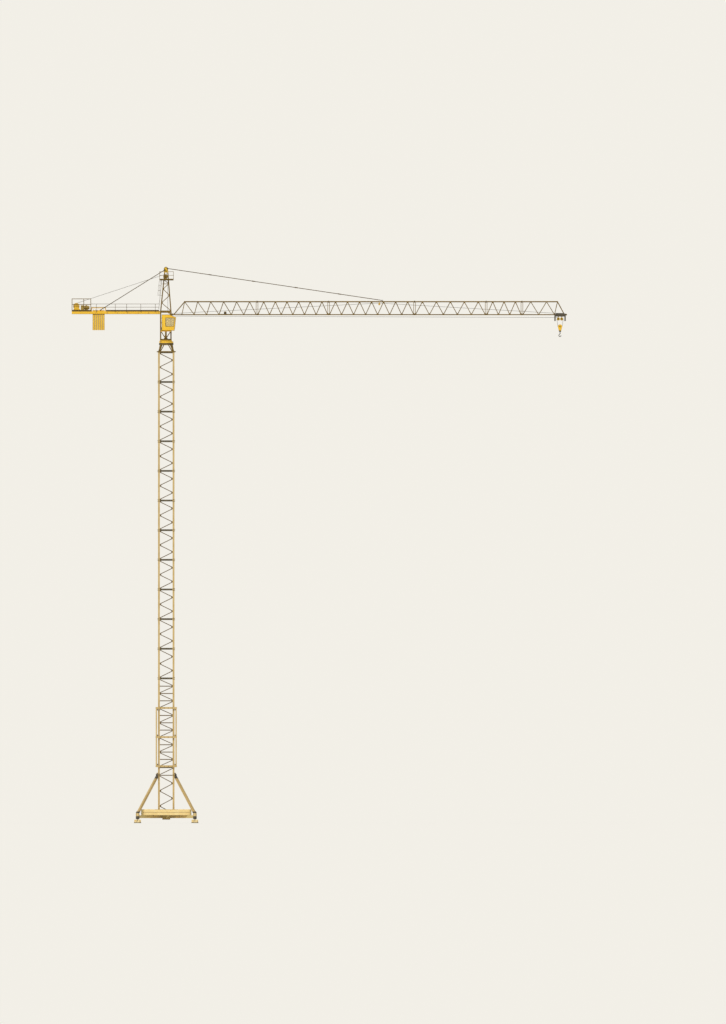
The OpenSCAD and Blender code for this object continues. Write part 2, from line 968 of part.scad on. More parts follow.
module tower_head() {
    color(steel) {
        head_legs();
        for (s = [-1, 1])
            along(-post_rear, post_front, s * post_side, head_z, head_z + head_sill_w, head_sill_w);
        for (x = [-post_rear, post_front])
            box(
                [x - head_sill_w / 2, -post_side, head_z],
                [x + head_sill_w / 2, post_side, head_z + head_sill_w]
            );
        for (i = [0:len(head_levels) - 2])
            let (
                h0 = head_levels[i] * head_h,
                h1 = head_levels[i + 1] * head_h,
                flip = i % 2 == 0
            )
                for (s = [-1, 1])
                    bar(
                        [flip ? head_front(h0) : -head_rear(h0), s * head_side(h0), head_z + h0],
                        [flip ? -head_rear(h1) : head_front(h1), s * head_side(h1), head_z + h1],
                        head_brace_w
                    );
        for (level = cross_levels)
            head_cross_bar(level * head_h);
        for (level = [cross_levels[1], pulley_level])
            head_side_bar(level * head_h);
        head_apex();
    }
}

bearer_h = 60;

module rail_loop(x0, x1, y0, y1, z) {
    for (y = [y0, y1])
        along(x0, x1, y, z, z + rail_w, rail_w);
    for (x = [x0, x1])
        box([x - rail_w / 2, y0, z], [x + rail_w / 2, y1, z + rail_w]);
}

module service_platform() {
    x0 = -service_l * 0.483;
    x1 = x0 + service_l;
    y = service_w / 2;
    leg_y = head_side(service_h - bearer_h) + head_leg_w / 2 + seat;
    inner = head_side(service_h) + head_leg_w / 2 + 2;
    color(steel)
        difference() {
            union() {
                box([x0, -y, service_z], [x1, y, service_z + service_t]);
                for (x = [x0 + 10, x1 - 10 - bearer_h])
                    box([x, -y, service_z - bearer_h], [x + bearer_h, y, service_z + 1]);
                for (s = [-1, 1])
                    box(
                        [x0 + 10, s > 0 ? leg_y : -leg_y - bearer_h, service_z - bearer_h],
                        [x1 - 10, s > 0 ? leg_y + bearer_h : -leg_y, service_z + 1]
                    );
                for (x = [x0 + rail_w / 2, (x0 + x1) / 2, x1 - rail_w / 2])
                    for (s = [-1, 1])
                        upright(x, s * (y - rail_w / 2), service_z, service_z + rail_h, rail_w);
                for (z = [rail_h * 0.5, rail_h - rail_w])
                    rail_loop(
                        x0 + rail_w / 2, x1 - rail_w / 2,
                        rail_w / 2 - y, y - rail_w / 2,
                        service_z + z
                    );
            }
            box(
                [-head_rear(service_h) - head_leg_w / 2 - 4, -inner, service_z - 10],
                [head_front(service_h) + head_leg_w / 2 + 4, inner, service_z + service_t + 10]
            );
            box(
                [x0 + 80, -ladder_w / 2 - 40, service_z - 10],
                [-head_rear(service_h), ladder_w / 2 + 40, service_z + service_t + 10]
            );
        }
}

ladder_low = deck_z - head_z + 120;
ladder_high = service_h - 60;
hoop_count = 4;
hoop_low = 0.413 * head_h;
hoop_step = 0.1196 * head_h;

module head_ladder() {
    function lx(h) = -head_rear(h) - head_leg_w / 2 - ladder_gap;
    rungs = floor((ladder_high - ladder_low - 80) / rung_step);
    color(steel) {
        for (s = [-1, 1])
            bar(
                [lx(ladder_low), s * ladder_w / 2, head_z + ladder_low],
                [lx(ladder_high), s * ladder_w / 2, head_z + ladder_high],
                24
            );
        for (i = [0:rungs])
            let (h = ladder_low + 60 + i * rung_step)
                bar([lx(h), -ladder_w / 2, head_z + h], [lx(h), ladder_w / 2, head_z + h], 16);
        for (level = cross_levels)
            let (h = level * head_h)
                for (s = [-1, 1])
                    bar(
                        [lx(h), s * ladder_w / 2, head_z + h],
                        [-head_rear(h) - head_brace_w / 2 - seat, s * ladder_w / 2, head_z + h],
                        20
                    );
        for (i = [0:hoop_count - 1])
            let (h = hoop_low + i * hoop_step) {
                translate([lx(h), 0, head_z + h])
                    difference() {
                        translate([0, 0, -10])
                            cylinder(r = cage_r, h = 20, $fn = 48);
                        translate([0, 0, -11])
                            cylinder(r = cage_r - 10, h = 22, $fn = 48);
                        box([12, -cage_r * 2, -20], [cage_r * 2, cage_r * 2, 20]);
                    }
                for (s = [-1, 1])
                    box(
                        [lx(h) - 10, s > 0 ? ladder_w / 2 : -cage_r + 2, head_z + h - 10],
                        [lx(h) + 12, s > 0 ? cage_r - 2 : -ladder_w / 2, head_z + h + 10]
                    );
            }
        for (turn = [-60, 0, 60])
            let (
                dx = -(cage_r - 5) * cos(turn),
                dy = (cage_r - 5) * sin(turn),
                top = hoop_low + (hoop_count - 1) * hoop_step
            )
                bar(
                    [lx(hoop_low) + dx, dy, head_z + hoop_low - 5],
                    [lx(top) + dx, dy, head_z + top + 5],
                    14
                );
    }
}

// Counter-jib
floor_bays = 5;

module counter_jib_frame() {
    top = deck_z - deck_t;
    low = top - girder_h;
    bay = (weights_front - girder_start) / floor_bays;
    color(steel) {
        for (s = [-1, 1])
            along(-tail_radius, -girder_start - seat, s * girder_y, low, top, girder_w);
        for (x = [
            tail_radius - girder_w, guard_mid, weights_rear,
            for (i = [0:floor_bays]) girder_start + seat + i * bay
        ])
            box([-x - girder_w, -girder_y, low + 40], [-x, girder_y, top - 20]);
        for (s = [-1, 1]) {
            along(-weight_x - 20, tie_foot_x + 60, s * girder_y, top - 1, deck_z + tie_foot_h, lug_w);
            for (x = [keeper_rear, keeper_front - keeper_w])
                along(x, x + keeper_w, s * keeper_y, top - 30, deck_z + keeper_h, keeper_w);
            along(
                keeper_rear, keeper_front, s * keeper_y,
                deck_z + keeper_h - keeper_w, deck_z + keeper_h, keeper_w
            );
        }
    }
}

module counter_jib_deck() {
    color("gray")
        difference() {
            box([-tail_radius, -deck_edge, deck_z - deck_t], [-girder_start - seat, deck_edge, deck_z]);
            box(
                [keeper_rear - 10, -deck_edge - 1, deck_z - deck_t - 1],
                [keeper_front + 10, deck_edge + 1, deck_z + 1]
            );
        }
}

// Places of the railing's posts, as shares of the length from the girders' front to the winch guard
post_shares = [0.068, 0.279, 0.484, 0.649, 0.925];
deck_rail_h = 500;

module counter_jib_railing() {
    y = deck_edge + rail_w / 2;
    way = guard_front - girder_start;
    color(steel)
        for (s = [-1, 1]) {
            for (share = post_shares)
                let (x = girder_start + share * way)
                    upright(-x, s * y, deck_z - deck_t - 60, deck_z + deck_rail_h, rail_w);
            for (z = [deck_z + deck_rail_h / 2, deck_z + deck_rail_h - rail_w])
                along(-guard_front, -girder_start - 60, s * y, z, z + rail_w, rail_w);
        }
}

guard_w = 44;

module winch_guard() {
    y = deck_edge - 30;
    w = guard_w;
    color(steel) {
        for (s = [-1, 1]) {
            for (x = [tail_radius - w, guard_mid, guard_front])
                along(-x - w, -x, s * y, deck_z, deck_z + guard_h, w);
            for (z = [guard_h - w, guard_h / 2])
                along(-tail_radius, -guard_front, s * y, deck_z + z, deck_z + z + w, w);
        }
        for (x = [tail_radius - w, guard_mid])
            box([-x - w, -y, deck_z + guard_h - w], [-x, y, deck_z + guard_h]);
        box([-guard_front - w, -y, deck_z + guard_h / 2], [-guard_front, y, deck_z + guard_h / 2 + w]);
    }
}

pedestal_y = drum_l / 2 + 34;
pedestal_t = 36;
pedestal_rear = 220;
pedestal_front = 300;
sill_t = 50;
sill_w = 60;
hub_r = 90;

module winch_frame() {
    color(dark) {
        for (s = [-1, 1]) {
            y0 = s > 0 ? pedestal_y : -pedestal_y - pedestal_t;
            difference() {
                translate([-drum_x, y0 + pedestal_t, deck_z])
                    rotate([90, 0, 0])
                        linear_extrude(height = pedestal_t) {
                            polygon([
                                [-pedestal_rear, sill_t], [-pedestal_rear, 0],
                                [pedestal_front, 0], [pedestal_front, sill_t],
                                [hub_r, drum_rise], [-hub_r, drum_rise]
                            ]);
                            translate([0, drum_rise])
                                circle(r = hub_r, $fn = 48);
                        }
                across(y0 - 1, y0 + pedestal_t + 1, drum_shaft_r + fit, -drum_x, drum_z);
            }
        }
        for (x = [-pedestal_rear, pedestal_front - sill_w])
            box(
                [x - drum_x, -pedestal_y - pedestal_t, deck_z],
                [x - drum_x + sill_w, pedestal_y + pedestal_t, deck_z + sill_t]
            );
    }
}

module hoist_drum() {
    half = drum_l / 2;
    color(dark) {
        across(-half, half, drum_r, -drum_x, drum_z, 64);
        for (s = [-1, 1])
            across(s > 0 ? half : -half - 20, s > 0 ? half + 20 : -half, drum_flange_r, -drum_x, drum_z, 64);
        across(-pedestal_y - pedestal_t - 12, pedestal_y + pedestal_t + 12, drum_shaft_r, -drum_x, drum_z);
    }
}

gear_l = 220;
gear_w = 260;
gear_h = 400;
motor_y = -120;
motor_r = 130;
motor_l = 340;
motor_rise = 235;
motor_cap_l = 60;
winch_base_t = 60;

module winch_motor() {
    x0 = pedestal_front + 10 - drum_x;
    motor_x = x0 + gear_l - 10;
    color("slategray") {
        along(x0, x0 + 1.5 * gear_l, motor_y, deck_z, deck_z + winch_base_t, gear_w + 20);
        along(x0, x0 + gear_l, motor_y, deck_z + winch_base_t - 10, deck_z + gear_h, gear_w);
        for (run = [[0, motor_l, motor_r], [motor_l, motor_cap_l, motor_r * 0.86]])
            translate([motor_x + run[0], motor_y, deck_z + motor_rise])
                rotate([0, 90, 0])
                    cylinder(r = run[2], h = run[1], $fn = 48);
        along(motor_x + 50, motor_x + motor_l - 50, motor_y, deck_z, deck_z + motor_rise - 95, motor_r);
    }
}

module weight_slab() {
    neck = girder_y - girder_w / 2 - 30;
    head = girder_y - 20;
    low = -deck_t - girder_h - 35;
    linear_extrude(height = weight_t)
        polygon([
            [-weight_w / 2, low - weight_h + 35],
            [weight_w / 2, low - weight_h + 35],
            [weight_w / 2, low - 40],
            [neck + 60, low],
            [neck, low + 40],
            [neck, -deck_t + fit],
            [head, -deck_t + fit],
            [head, 55],
            [-head, 55],
            [-head, -deck_t + fit],
            [-neck, -deck_t + fit],
            [-neck, low + 40],
            [-neck - 60, low],
            [-weight_w / 2, low - 40]
        ]);
}

module counterweights() {
    first = -weight_x - (weight_count - 1) * weight_step / 2 - weight_t / 2;
    color(concrete)
        for (i = [0:weight_count - 1])
            translate([first + i * weight_step, 0, deck_z])
                rotate([90, 0, 90])
                    weight_slab();
}

module counter_jib_ties() {
    foot = [tie_foot_x, deck_z + tie_foot_h];
    color(dark)
        for (s = [-1, 1])
            difference() {
                union() {
                    rod(
                        [foot.x, s * girder_y, foot.y - 10],
                        [counter_tie_pin.x, s * (head_top_y + 22), counter_tie_pin.y],
                        tie_d
                    );
                    across(
                        s > 0 ? head_top_y - 20 + apex_t / 2 : -head_top_y - 25,
                        s > 0 ? head_top_y + 25 : -head_top_y + 20 - apex_t / 2,
                        46, counter_tie_pin.x, counter_tie_pin.y
                    );
                }
                across(-head_top_y - 60, head_top_y + 60, 24 + fit, counter_tie_pin.x, counter_tie_pin.y);
                box(
                    [foot.x - 400, s * girder_y - 200, foot.y - 200],
                    [foot.x + 400, s * girder_y + 200, foot.y]
                );
            }
}

// Jib
module jib_end_frame(x, z_top) {
    half = jib_w / 2;
    for (s = [-1, 1])
        bar([x, s * half, pin_z], [x, 0, z_top], jib_brace_w);
    floor_bar(x);
}

module jib_panel(a, peak, b) {
    half = jib_w / 2;
    for (s = [-1, 1]) {
        bar([a, s * half, pin_z], [peak, 0, top_chord_z], jib_brace_w);
        bar([b, s * half, pin_z], [peak, 0, top_chord_z], jib_brace_w);
    }
}

module jib_floor(a, b, s) {
    half = jib_w / 2;
    bar([a, -s * half, pin_z], [b, s * half, pin_z], jib_brace_w * 0.8);
}

module lower_chords(x0, x1, rail0) {
    for (s = [-1, 1]) {
        along(x0, x1, s * jib_w / 2, pin_z - jib_chord_w / 2, pin_z + jib_chord_w / 2, jib_chord_w);
        box(
            [rail0, s > 0 ? jib_w / 2 : -jib_rail_y, pin_z - jib_chord_w / 2],
            [x1, s > 0 ? jib_rail_y : -jib_w / 2, pin_z - jib_chord_w / 2 + jib_rail_t]
        );
    }
}

jib_rail_y = jib_w / 2 + jib_chord_w / 2 + jib_rail_w;

module top_chord(x0, x1) {
    translate([x0, 0, top_chord_z])
        rotate([0, 90, 0])
            rotate([0, 0, 22.5])
                cylinder(d = top_chord_d / cos(22.5), h = x1 - x0, $fn = 8);
}

frame_inset = jib_brace_w / 2 + frame_gap;

module floor_bar(x) {
    box(
        [x - jib_brace_w / 2, -jib_w / 2, pin_z - jib_brace_w / 2],
        [x + jib_brace_w / 2, jib_w / 2, pin_z + jib_brace_w / 2]
    );
}

module jib_section(x0, x1, panels) {
    a = x0 + frame_inset;
    step = (x1 - x0 - 2 * frame_inset) / panels;
    color(steel) {
        lower_chords(x0, x1, x0);
        top_chord(x0, x1);
        for (x = [a, x1 - frame_inset])
            jib_end_frame(x, top_chord_z);
        for (i = [0:panels - 1]) {
            jib_panel(a + i * step, a + (i + 0.5) * step, a + (i + 1) * step);
            jib_floor(a + i * step, a + (i + 1) * step, i % 2 == 0 ? 1 : -1);
        }
        for (i = [1:panels - 1])
            floor_bar(a + i * step);
    }
}

// The first section's diagonals lean back towards the root, less so at each panel
root_panels = 6;
root_x = pin_x + root_bay;
root_step = (jib_x1 - frame_inset - root_x) / root_panels;
first_lean = 0.22;
lean_gain = 0.05;

function root_peak(i) = root_x + (i * (1 + lean_gain) + first_lean) * root_step;

module jib_section_1() {
    color(steel) {
        lower_chords(pin_x + jib_eye_r * 0.8, jib_x1, pin_x + 260);
        top_chord(root_peak(0) - 40, jib_x1);
        mirror_y()
            difference() {
                across(jib_w / 2 - eye_l / 2, jib_w / 2 + eye_l / 2, jib_eye_r, pin_x, pin_z);
                across(0, jib_w, jib_pin_r + fit, pin_x, pin_z);
            }
        for (s = [-1, 1])
            bar([pin_x + 80, s * jib_w / 2, pin_z], [root_peak(0), 0, top_chord_z], jib_brace_w * 1.4);
        jib_floor(pin_x + 120, root_x, 1);
        for (i = [0:root_panels - 1]) {
            jib_panel(root_x + i * root_step, root_peak(i), root_x + (i + 1) * root_step);
            jib_floor(root_x + i * root_step, root_x + (i + 1) * root_step, i % 2 == 0 ? -1 : 1);
        }
        for (i = [0:root_panels])
            floor_bar(root_x + i * root_step);
        jib_end_frame(jib_x1 - frame_inset, top_chord_z);
    }
}

// The tip section ends in a raking nose over the end box
tip_panels = 2;
tip_step = (jib_x6 - jib_x5) * 0.351;
end_box_x = jib_x6 - 220;
end_box_l = 70;

module jib_section_6() {
    a = jib_x5 + frame_inset;
    nose_foot = a + tip_panels * tip_step;
    nose_top = nose_foot + 0.19 * tip_step;
    color(steel) {
        lower_chords(jib_x5, jib_x6, jib_x5);
        top_chord(jib_x5, nose_top + 40);
        jib_end_frame(a, top_chord_z);
        for (i = [0:tip_panels - 1]) {
            jib_panel(a + i * tip_step, a + (i + 0.5) * tip_step, a + (i + 1) * tip_step);
            jib_floor(a + i * tip_step, a + (i + 1) * tip_step, i % 2 == 0 ? 1 : -1);
        }
        for (i = [1:tip_panels])
            floor_bar(a + i * tip_step);
        for (s = [-1, 1]) {
            bar([nose_foot, s * jib_w / 2, pin_z], [nose_top, 0, top_chord_z], jib_brace_w);
            bar(
                [nose_top, 0, top_chord_z],
                [end_box_x + end_box_l / 2, s * jib_w / 2, pin_z],
                jib_brace_w * 1.3
            );
        }
        jib_floor(nose_foot, end_box_x, 1);
        box(
            [end_box_x, -jib_w / 2, pin_z - jib_chord_w / 2],
            [end_box_x + end_box_l, jib_w / 2, pin_z + jib_chord_w / 2]
        );
    }
}

tie_lug_z = top_chord_z + top_chord_d / 2;

module jib_tie() {
    eye = 44;
    foot = [tie_x, tie_lug_z + 46];
    color(dark) {
        difference() {
            union() {
                for (s = [-1, 1])
                    rod([jib_tie_pin.x, s * 46, jib_tie_pin.y], [foot.x, s * 46, foot.y], tie_d);
                across(-75, 75, eye, foot.x, foot.y);
                for (s = [-1, 1])
                    across(s > 0 ? 20 : -72, s > 0 ? 72 : -20, eye, jib_tie_pin.x, jib_tie_pin.y);
                for (i = [1:4])
                    let (t = i / 5, x = jib_tie_pin.x + (foot.x - jib_tie_pin.x) * t)
                        translate([x, 0, jib_tie_pin.y + (foot.y - jib_tie_pin.y) * t])
                            rotate([0, atan2(jib_tie_pin.y - foot.y, foot.x - jib_tie_pin.x), 0])
                                translate([-110, -76, -34])
                                    cube([220, 152, 68]);
            }
            across(-100, 100, 24 + fit, jib_tie_pin.x, jib_tie_pin.y);
            across(-100, 100, 20 + fit, foot.x, foot.y);
        }
    }
}

// Ropes and pulleys
pulley_r = 150;
root_pulley_r = 62;
mid_pulley_r = 62;
tip_pulley_r = 48;
pulley_w = 40;
pulley_lip = 12;
rope_off = rope_d / 2 + fit;
head_pulley_x = -50;
root_pulley_rise = 146;
mid_pulley_drop = 130;
head_pulley = [head_pulley_x, head_z + pulley_level * head_h];
root_pulley = [head_pulley.x + pulley_r + root_pulley_r + 2 * rope_off, pin_z + root_pulley_rise];
mid_pulley = [tie_x - mid_pulley_back, top_chord_z - top_chord_d / 2 - mid_pulley_drop];
tip_pulley = [jib_x6 - tip_pulley_r - pulley_lip - 4, pin_z];

// Unit normal of the straight run that touches two pulleys on the same side
function run_normal(c1, r1, c2, r2, side) =
    let (d = c1 - c2, a = atan2(d.y, d.x) + side * acos((r2 - r1) / norm(d)))
        [cos(a), sin(a)];

module rope_run(c1, r1, c2, r2, side) {
    n = run_normal(c1, r1 + rope_off, c2, r2 + rope_off, side);
    p = c1 + n * (r1 + rope_off);
    q = c2 + n * (r2 + rope_off);
    rod([p.x, 0, p.y], [q.x, 0, q.y], rope_d, 8);
}

module pulley(p, r, w) {
    across(-w / 2, w / 2, r, p.x, p.y, 64);
    for (s = [-1, 1])
        across(s > 0 ? w / 2 - 8 : -w / 2, s > 0 ? w / 2 : 8 - w / 2, r + pulley_lip, p.x, p.y, 64);
}

module pulley_cheeks(p, r, to) {
    for (s = [-1, 1])
        box(
            [min(p.x - r, to[0].x), s > 0 ? pulley_w / 2 + 5 : -pulley_w / 2 - 13, min(p.y - r, to[0].y)],
            [max(p.x + r, to[1].x), s > 0 ? pulley_w / 2 + 13 : -pulley_w / 2 - 5, max(p.y + r, to[1].y)]
        );
    across(-pulley_w / 2 - 13, pulley_w / 2 + 13, 16, p.x, p.y);
}

module rope_pulleys() {
    half = head_side(pulley_level * head_h) - head_brace_w / 2;
    bar_face = post_front - post_w / 2;
    chord_flat = top_chord_z - top_chord_d / 2;
    color(dark) {
        pulley(head_pulley, pulley_r, pulley_w);
        across(seat - half, half - seat, 20, head_pulley.x, head_pulley.y);
        pulley(root_pulley, root_pulley_r, pulley_w);
        pulley_cheeks(
            root_pulley, 24,
            [[root_pulley.x, root_pulley.y], [bar_face, root_pulley.y + 24]]
        );
        pulley(mid_pulley, mid_pulley_r, pulley_w);
        pulley_cheeks(mid_pulley, 24, [[mid_pulley.x, mid_pulley.y], [mid_pulley.x, chord_flat]]);
        box(
            [mid_pulley.x - 24, -pulley_w / 2 - 13, chord_flat - 20],
            [mid_pulley.x + 24, pulley_w / 2 + 13, chord_flat]
        );
        pulley(tip_pulley, tip_pulley_r, pulley_w);
        across(jib_chord_w / 2 - jib_w / 2, jib_w / 2 - jib_chord_w / 2, 16, tip_pulley.x, tip_pulley.y);
    }
}

module hoist_rope() {
    drum = [-drum_x, drum_z];
    color("black") {
        rope_run(drum, drum_r, head_pulley, pulley_r, -1);
        rope_run(head_pulley, pulley_r, root_pulley, -root_pulley_r - 2 * rope_off, -1);
        rope_run(root_pulley, root_pulley_r, mid_pulley, -mid_pulley_r - 2 * rope_off, 1);
        rope_run(mid_pulley, mid_pulley_r, tip_pulley, tip_pulley_r, -1);
    }
}

travel_x = root_x + 3.5 * root_step;
travel_drum_r = 70;
travel_z = pin_z + jib_brace_w / 2 + 40 + 85;

module trolley_winch() {
    low = pin_z + jib_brace_w / 2;
    color(dark)
        for (s = [-1, 1]) {
            y0 = s > 0 ? 190 : -220;
            box(
                [travel_x - root_step / 2 - 20, y0, low],
                [travel_x + root_step / 2 + 20, y0 + 30, low + 30]
            );
            difference() {
                box([travel_x - 90, y0, low + 30], [travel_x + 90, y0 + 30, travel_z + 60]);
                across(y0 - 1, y0 + 31, 18 + fit, travel_x, travel_z);
            }
        }
}

module trolley_drum() {
    color(dark) {
        across(-160, 160, travel_drum_r, travel_x, travel_z);
        for (s = [-1, 1])
            across(s > 0 ? 160 : -172, s > 0 ? 172 : -160, 85, travel_x, travel_z);
        across(-226, 226, 18, travel_x, travel_z);
    }
}

// Trolley
rail_top_z = pin_z - jib_chord_w / 2 + jib_rail_t;
wheel_z = rail_top_z + fit + wheel_r;
cheek_y = jib_rail_y + 6;
cheek_t = 20;
trolley_low = pin_z - jib_chord_w / 2 - 10;
sheave_z = trolley_low - 255;

module trolley_frame() {
    x0 = hook_radius - trolley_l / 2;
    x1 = hook_radius + trolley_l / 2;
    plate_y = pulley_w / 2 + 24;
    plate_t = 16;
    color(dark) {
        mirror_y() {
            box([x0, cheek_y, trolley_low - 90], [x1, cheek_y + cheek_t, pin_z + 114]);
            for (e = [-1, 1])
                box(
                    [hook_radius + e * leg_x - leg_w / 2, cheek_y, trolley_low - leg_drop],
                    [hook_radius + e * leg_x + leg_w / 2, cheek_y + cheek_t, pin_z + 60]
                );
            box([x0, plate_y, trolley_low - 80], [x1, plate_y + plate_t, trolley_low - 20]);
            difference() {
                for (e = [-1, 1])
                    let (x = hook_radius + e * sheave_x) {
                        box([x - 28, plate_y, sheave_z], [x + 28, plate_y + plate_t, trolley_low - 20]);
                        across(plate_y, plate_y + plate_t, 44, x, sheave_z);
                    }
                for (e = [-1, 1])
                    across(0, 100, 20 + fit, hook_radius + e * sheave_x, sheave_z);
            }
        }
        for (x = [x0, x1 - 60])
            box([x, -cheek_y - 1, trolley_low - 80], [x + 60, cheek_y + 1, trolley_low - 20]);
        for (e = [-1, 1])
            box(
                [hook_radius + e * leg_x - leg_w / 2, -cheek_y - 1, trolley_low - leg_drop],
                [hook_radius + e * leg_x + leg_w / 2, cheek_y + 1, trolley_low - leg_drop + 80]
            );
    }
}

module trolley_wheels() {
    color("black") {
        for (dx = [-1, 1])
            for (s = [-1, 1])
                let (x = hook_radius + dx * (trolley_l / 2 - 80)) {
                    across(
                        s > 0 ? cheek_y - 40 : -cheek_y + 8,
                        s > 0 ? cheek_y - 8 : -cheek_y + 40,
                        wheel_r, x, wheel_z
                    );
                    across(s > 0 ? cheek_y - 20 : -cheek_y, s > 0 ? cheek_y : -cheek_y + 20, 18, x, wheel_z);
                }
        for (dx = [-sheave_x, sheave_x]) {
            pulley([hook_radius + dx, sheave_z], trolley_sheave_r, pulley_w);
            across(-66, 66, 20, hook_radius + dx, sheave_z);
        }
    }
}

hook_height = rail_top_z - hook_drop;
block_z = hook_height + block_rise;

module rope_falls() {
    color("black")
        for (s = [-1, 1])
            rope_run(
                [hook_radius + s * sheave_x, sheave_z], trolley_sheave_r,
                [hook_radius, block_z], block_sheave_r, -s
            );
}

crosshead_z = block_z - 325;
cheek_r = block_sheave_r + 16;

module hook_block() {
    color(dark) {
        for (s = [-1, 1])
            translate([hook_radius, s > 0 ? 50 : -34, block_z])
                rotate([90, 0, 0])
                    linear_extrude(height = 16) {
                        circle(r = cheek_r, $fn = 64);
                        polygon([
                            [-cheek_r * 0.94, -cheek_r * 0.34],
                            [-66, crosshead_z - block_z - 44],
                            [66, crosshead_z - block_z - 44],
                            [cheek_r * 0.94, -cheek_r * 0.34]
                        ]);
                    }
        pulley([hook_radius, block_z], block_sheave_r, pulley_w);
        across(-64, 64, 26, hook_radius, block_z);
        difference() {
            box([hook_radius - 74, -35, crosshead_z - 40], [hook_radius + 74, 35, crosshead_z + 40]);
            translate([hook_radius, 0, crosshead_z - 50])
                cylinder(d = shank_d + 2 * fit, h = 100, $fn = 48);
        }
    }
}

// Hook
hook_bowl_z = hook_height + bowl_r;

// Centre line of the hook's body, from the shank round the bowl to the point:
// place from the bowl's middle, thickness in its plane, thickness across it
bowl_steps = 22;
bowl_from = 118;
bowl_to = 387;
neck_t = 48;

function bowl_t(a) =
    a < 270
        ? neck_t + (hook_t - neck_t) * (a - bowl_from) / (270 - bowl_from)
        : hook_t + (14 - hook_t) * pow((a - 270) / (bowl_to - 270), 1.3);
function bowl_ring(a) =
    let (t = bowl_t(a), r = bowl_r + t / 2)
        [r * cos(a), r * sin(a), t, t * 0.82];

hook_rings = [
    [0, 150, neck_t, neck_t],
    [0, 124, neck_t, neck_t],
    [-6, 106, neck_t, neck_t * 0.95],
    [-18, 91, neck_t, neck_t * 0.88],
    for (i = [0:bowl_steps])
        bowl_ring(bowl_from + (bowl_to - bowl_from) * i / bowl_steps)
];
ring_sides = 12;

function ring_way(i) =
    let (
        a = hook_rings[max(i - 1, 0)],
        b = hook_rings[min(i + 1, len(hook_rings) - 1)],
        d = [b.x - a.x, b.y - a.y]
    )
        d / norm(d);

module forged_hook() {
    n = len(hook_rings);
    polyhedron(
        points = [
            for (i = [0:n - 1])
                let (r = hook_rings[i], d = ring_way(i))
                    for (k = [0:ring_sides - 1])
                        let (
                            u = r[2] / 2 * cos(360 * k / ring_sides),
                            v = r[3] / 2 * sin(360 * k / ring_sides)
                        )
                            [r.x - d.y * u, v, r.y + d.x * u]
        ],
        faces = [
            [for (k = [0:ring_sides - 1]) ring_sides - 1 - k],
            [for (k = [0:ring_sides - 1]) (n - 1) * ring_sides + k],
            for (i = [0:n - 2], k = [0:ring_sides - 1])
                let (
                    a = i * ring_sides + k,
                    b = i * ring_sides + (k + 1) % ring_sides
                )
                    each [[a, b, a + ring_sides], [b, b + ring_sides, a + ring_sides]]
        ]
    );
}

module hook() {
    color(dark) {
        translate([hook_radius, 0, hook_bowl_z]) {
            forged_hook();
            translate([0, 0, 140])
                cylinder(d = shank_d, h = crosshead_z + 70 - hook_bowl_z - 140, $fn = 48);
            translate([0, 0, 136])
                cylinder(r = 38, h = 34, $fn = 48);
        }
        translate([hook_radius, 0, crosshead_z + 40 + fit])
            cylinder(r = 32, h = 36, $fn = 6);
    }
}

foot_shoes();
corner_heads();
cross_beam();
cross_arms();
struts();
ballast_lower();
ballast_upper();
foot_section();
base_section();
mast_section_at(1);  // mast_section_01
mast_section_at(2);  // mast_section_02
mast_section_at(3);  // mast_section_03
mast_section_at(4);  // mast_section_04
mast_section_at(5);  // mast_section_05
mast_section_at(6);  // mast_section_06
mast_section_at(7);  // mast_section_07
mast_section_at(8);  // mast_section_08
mast_section_at(9);  // mast_section_09
mast_section_at(10);  // mast_section_10
mast_section_at(11);  // mast_section_11
climbing_frame();
ring_support();
slewing_deck();
slewing_tower();
slewing_gear();
cab_bracket();
cab_shell();
cab_glass();
cab_door();
tower_head();
service_platform();
head_ladder();
counter_jib_frame();
counter_jib_deck();
counter_jib_railing();
winch_guard();
winch_frame();
winch_motor();
counterweights();
counter_jib_ties();
jib_section_1();
jib_section(jib_x1, jib_x2, 6);  // jib_section_2
jib_section(jib_x2, jib_x3, 7);  // jib_section_3
jib_section(jib_x3, jib_x4, 5);  // jib_section_4
jib_section(jib_x4, jib_x5, 3);  // jib_section_5
jib_section_6();
jib_tie();
rope_pulleys();
hoist_rope();
trolley_winch();
hoist_drum();
trolley_drum();
trolley_frame();
trolley_wheels();
rope_falls();
hook_block();
hook();
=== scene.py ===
import math
import bpy
import bmesh
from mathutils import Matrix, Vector


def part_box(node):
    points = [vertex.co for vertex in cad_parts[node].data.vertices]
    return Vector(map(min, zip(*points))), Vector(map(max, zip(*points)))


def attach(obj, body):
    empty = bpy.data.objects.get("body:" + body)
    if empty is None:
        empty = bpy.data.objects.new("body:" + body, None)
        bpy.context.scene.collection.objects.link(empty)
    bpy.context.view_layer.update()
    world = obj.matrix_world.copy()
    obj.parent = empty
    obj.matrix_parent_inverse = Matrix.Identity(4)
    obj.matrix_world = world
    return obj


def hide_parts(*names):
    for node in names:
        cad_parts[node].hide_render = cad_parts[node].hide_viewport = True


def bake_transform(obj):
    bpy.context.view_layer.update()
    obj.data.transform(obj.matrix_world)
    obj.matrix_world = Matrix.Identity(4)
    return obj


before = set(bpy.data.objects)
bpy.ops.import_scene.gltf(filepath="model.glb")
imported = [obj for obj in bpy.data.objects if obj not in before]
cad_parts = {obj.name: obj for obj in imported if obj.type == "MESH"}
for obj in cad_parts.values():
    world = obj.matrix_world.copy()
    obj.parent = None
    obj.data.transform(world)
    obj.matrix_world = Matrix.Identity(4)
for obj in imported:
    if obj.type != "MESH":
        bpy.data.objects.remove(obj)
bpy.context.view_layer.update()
print("frame loaded,", len(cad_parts), "nodes")


def addObject(name, data):
    thing = bpy.data.objects.new(name, data)
    bpy.context.scene.collection.objects.link(thing)
    return thing


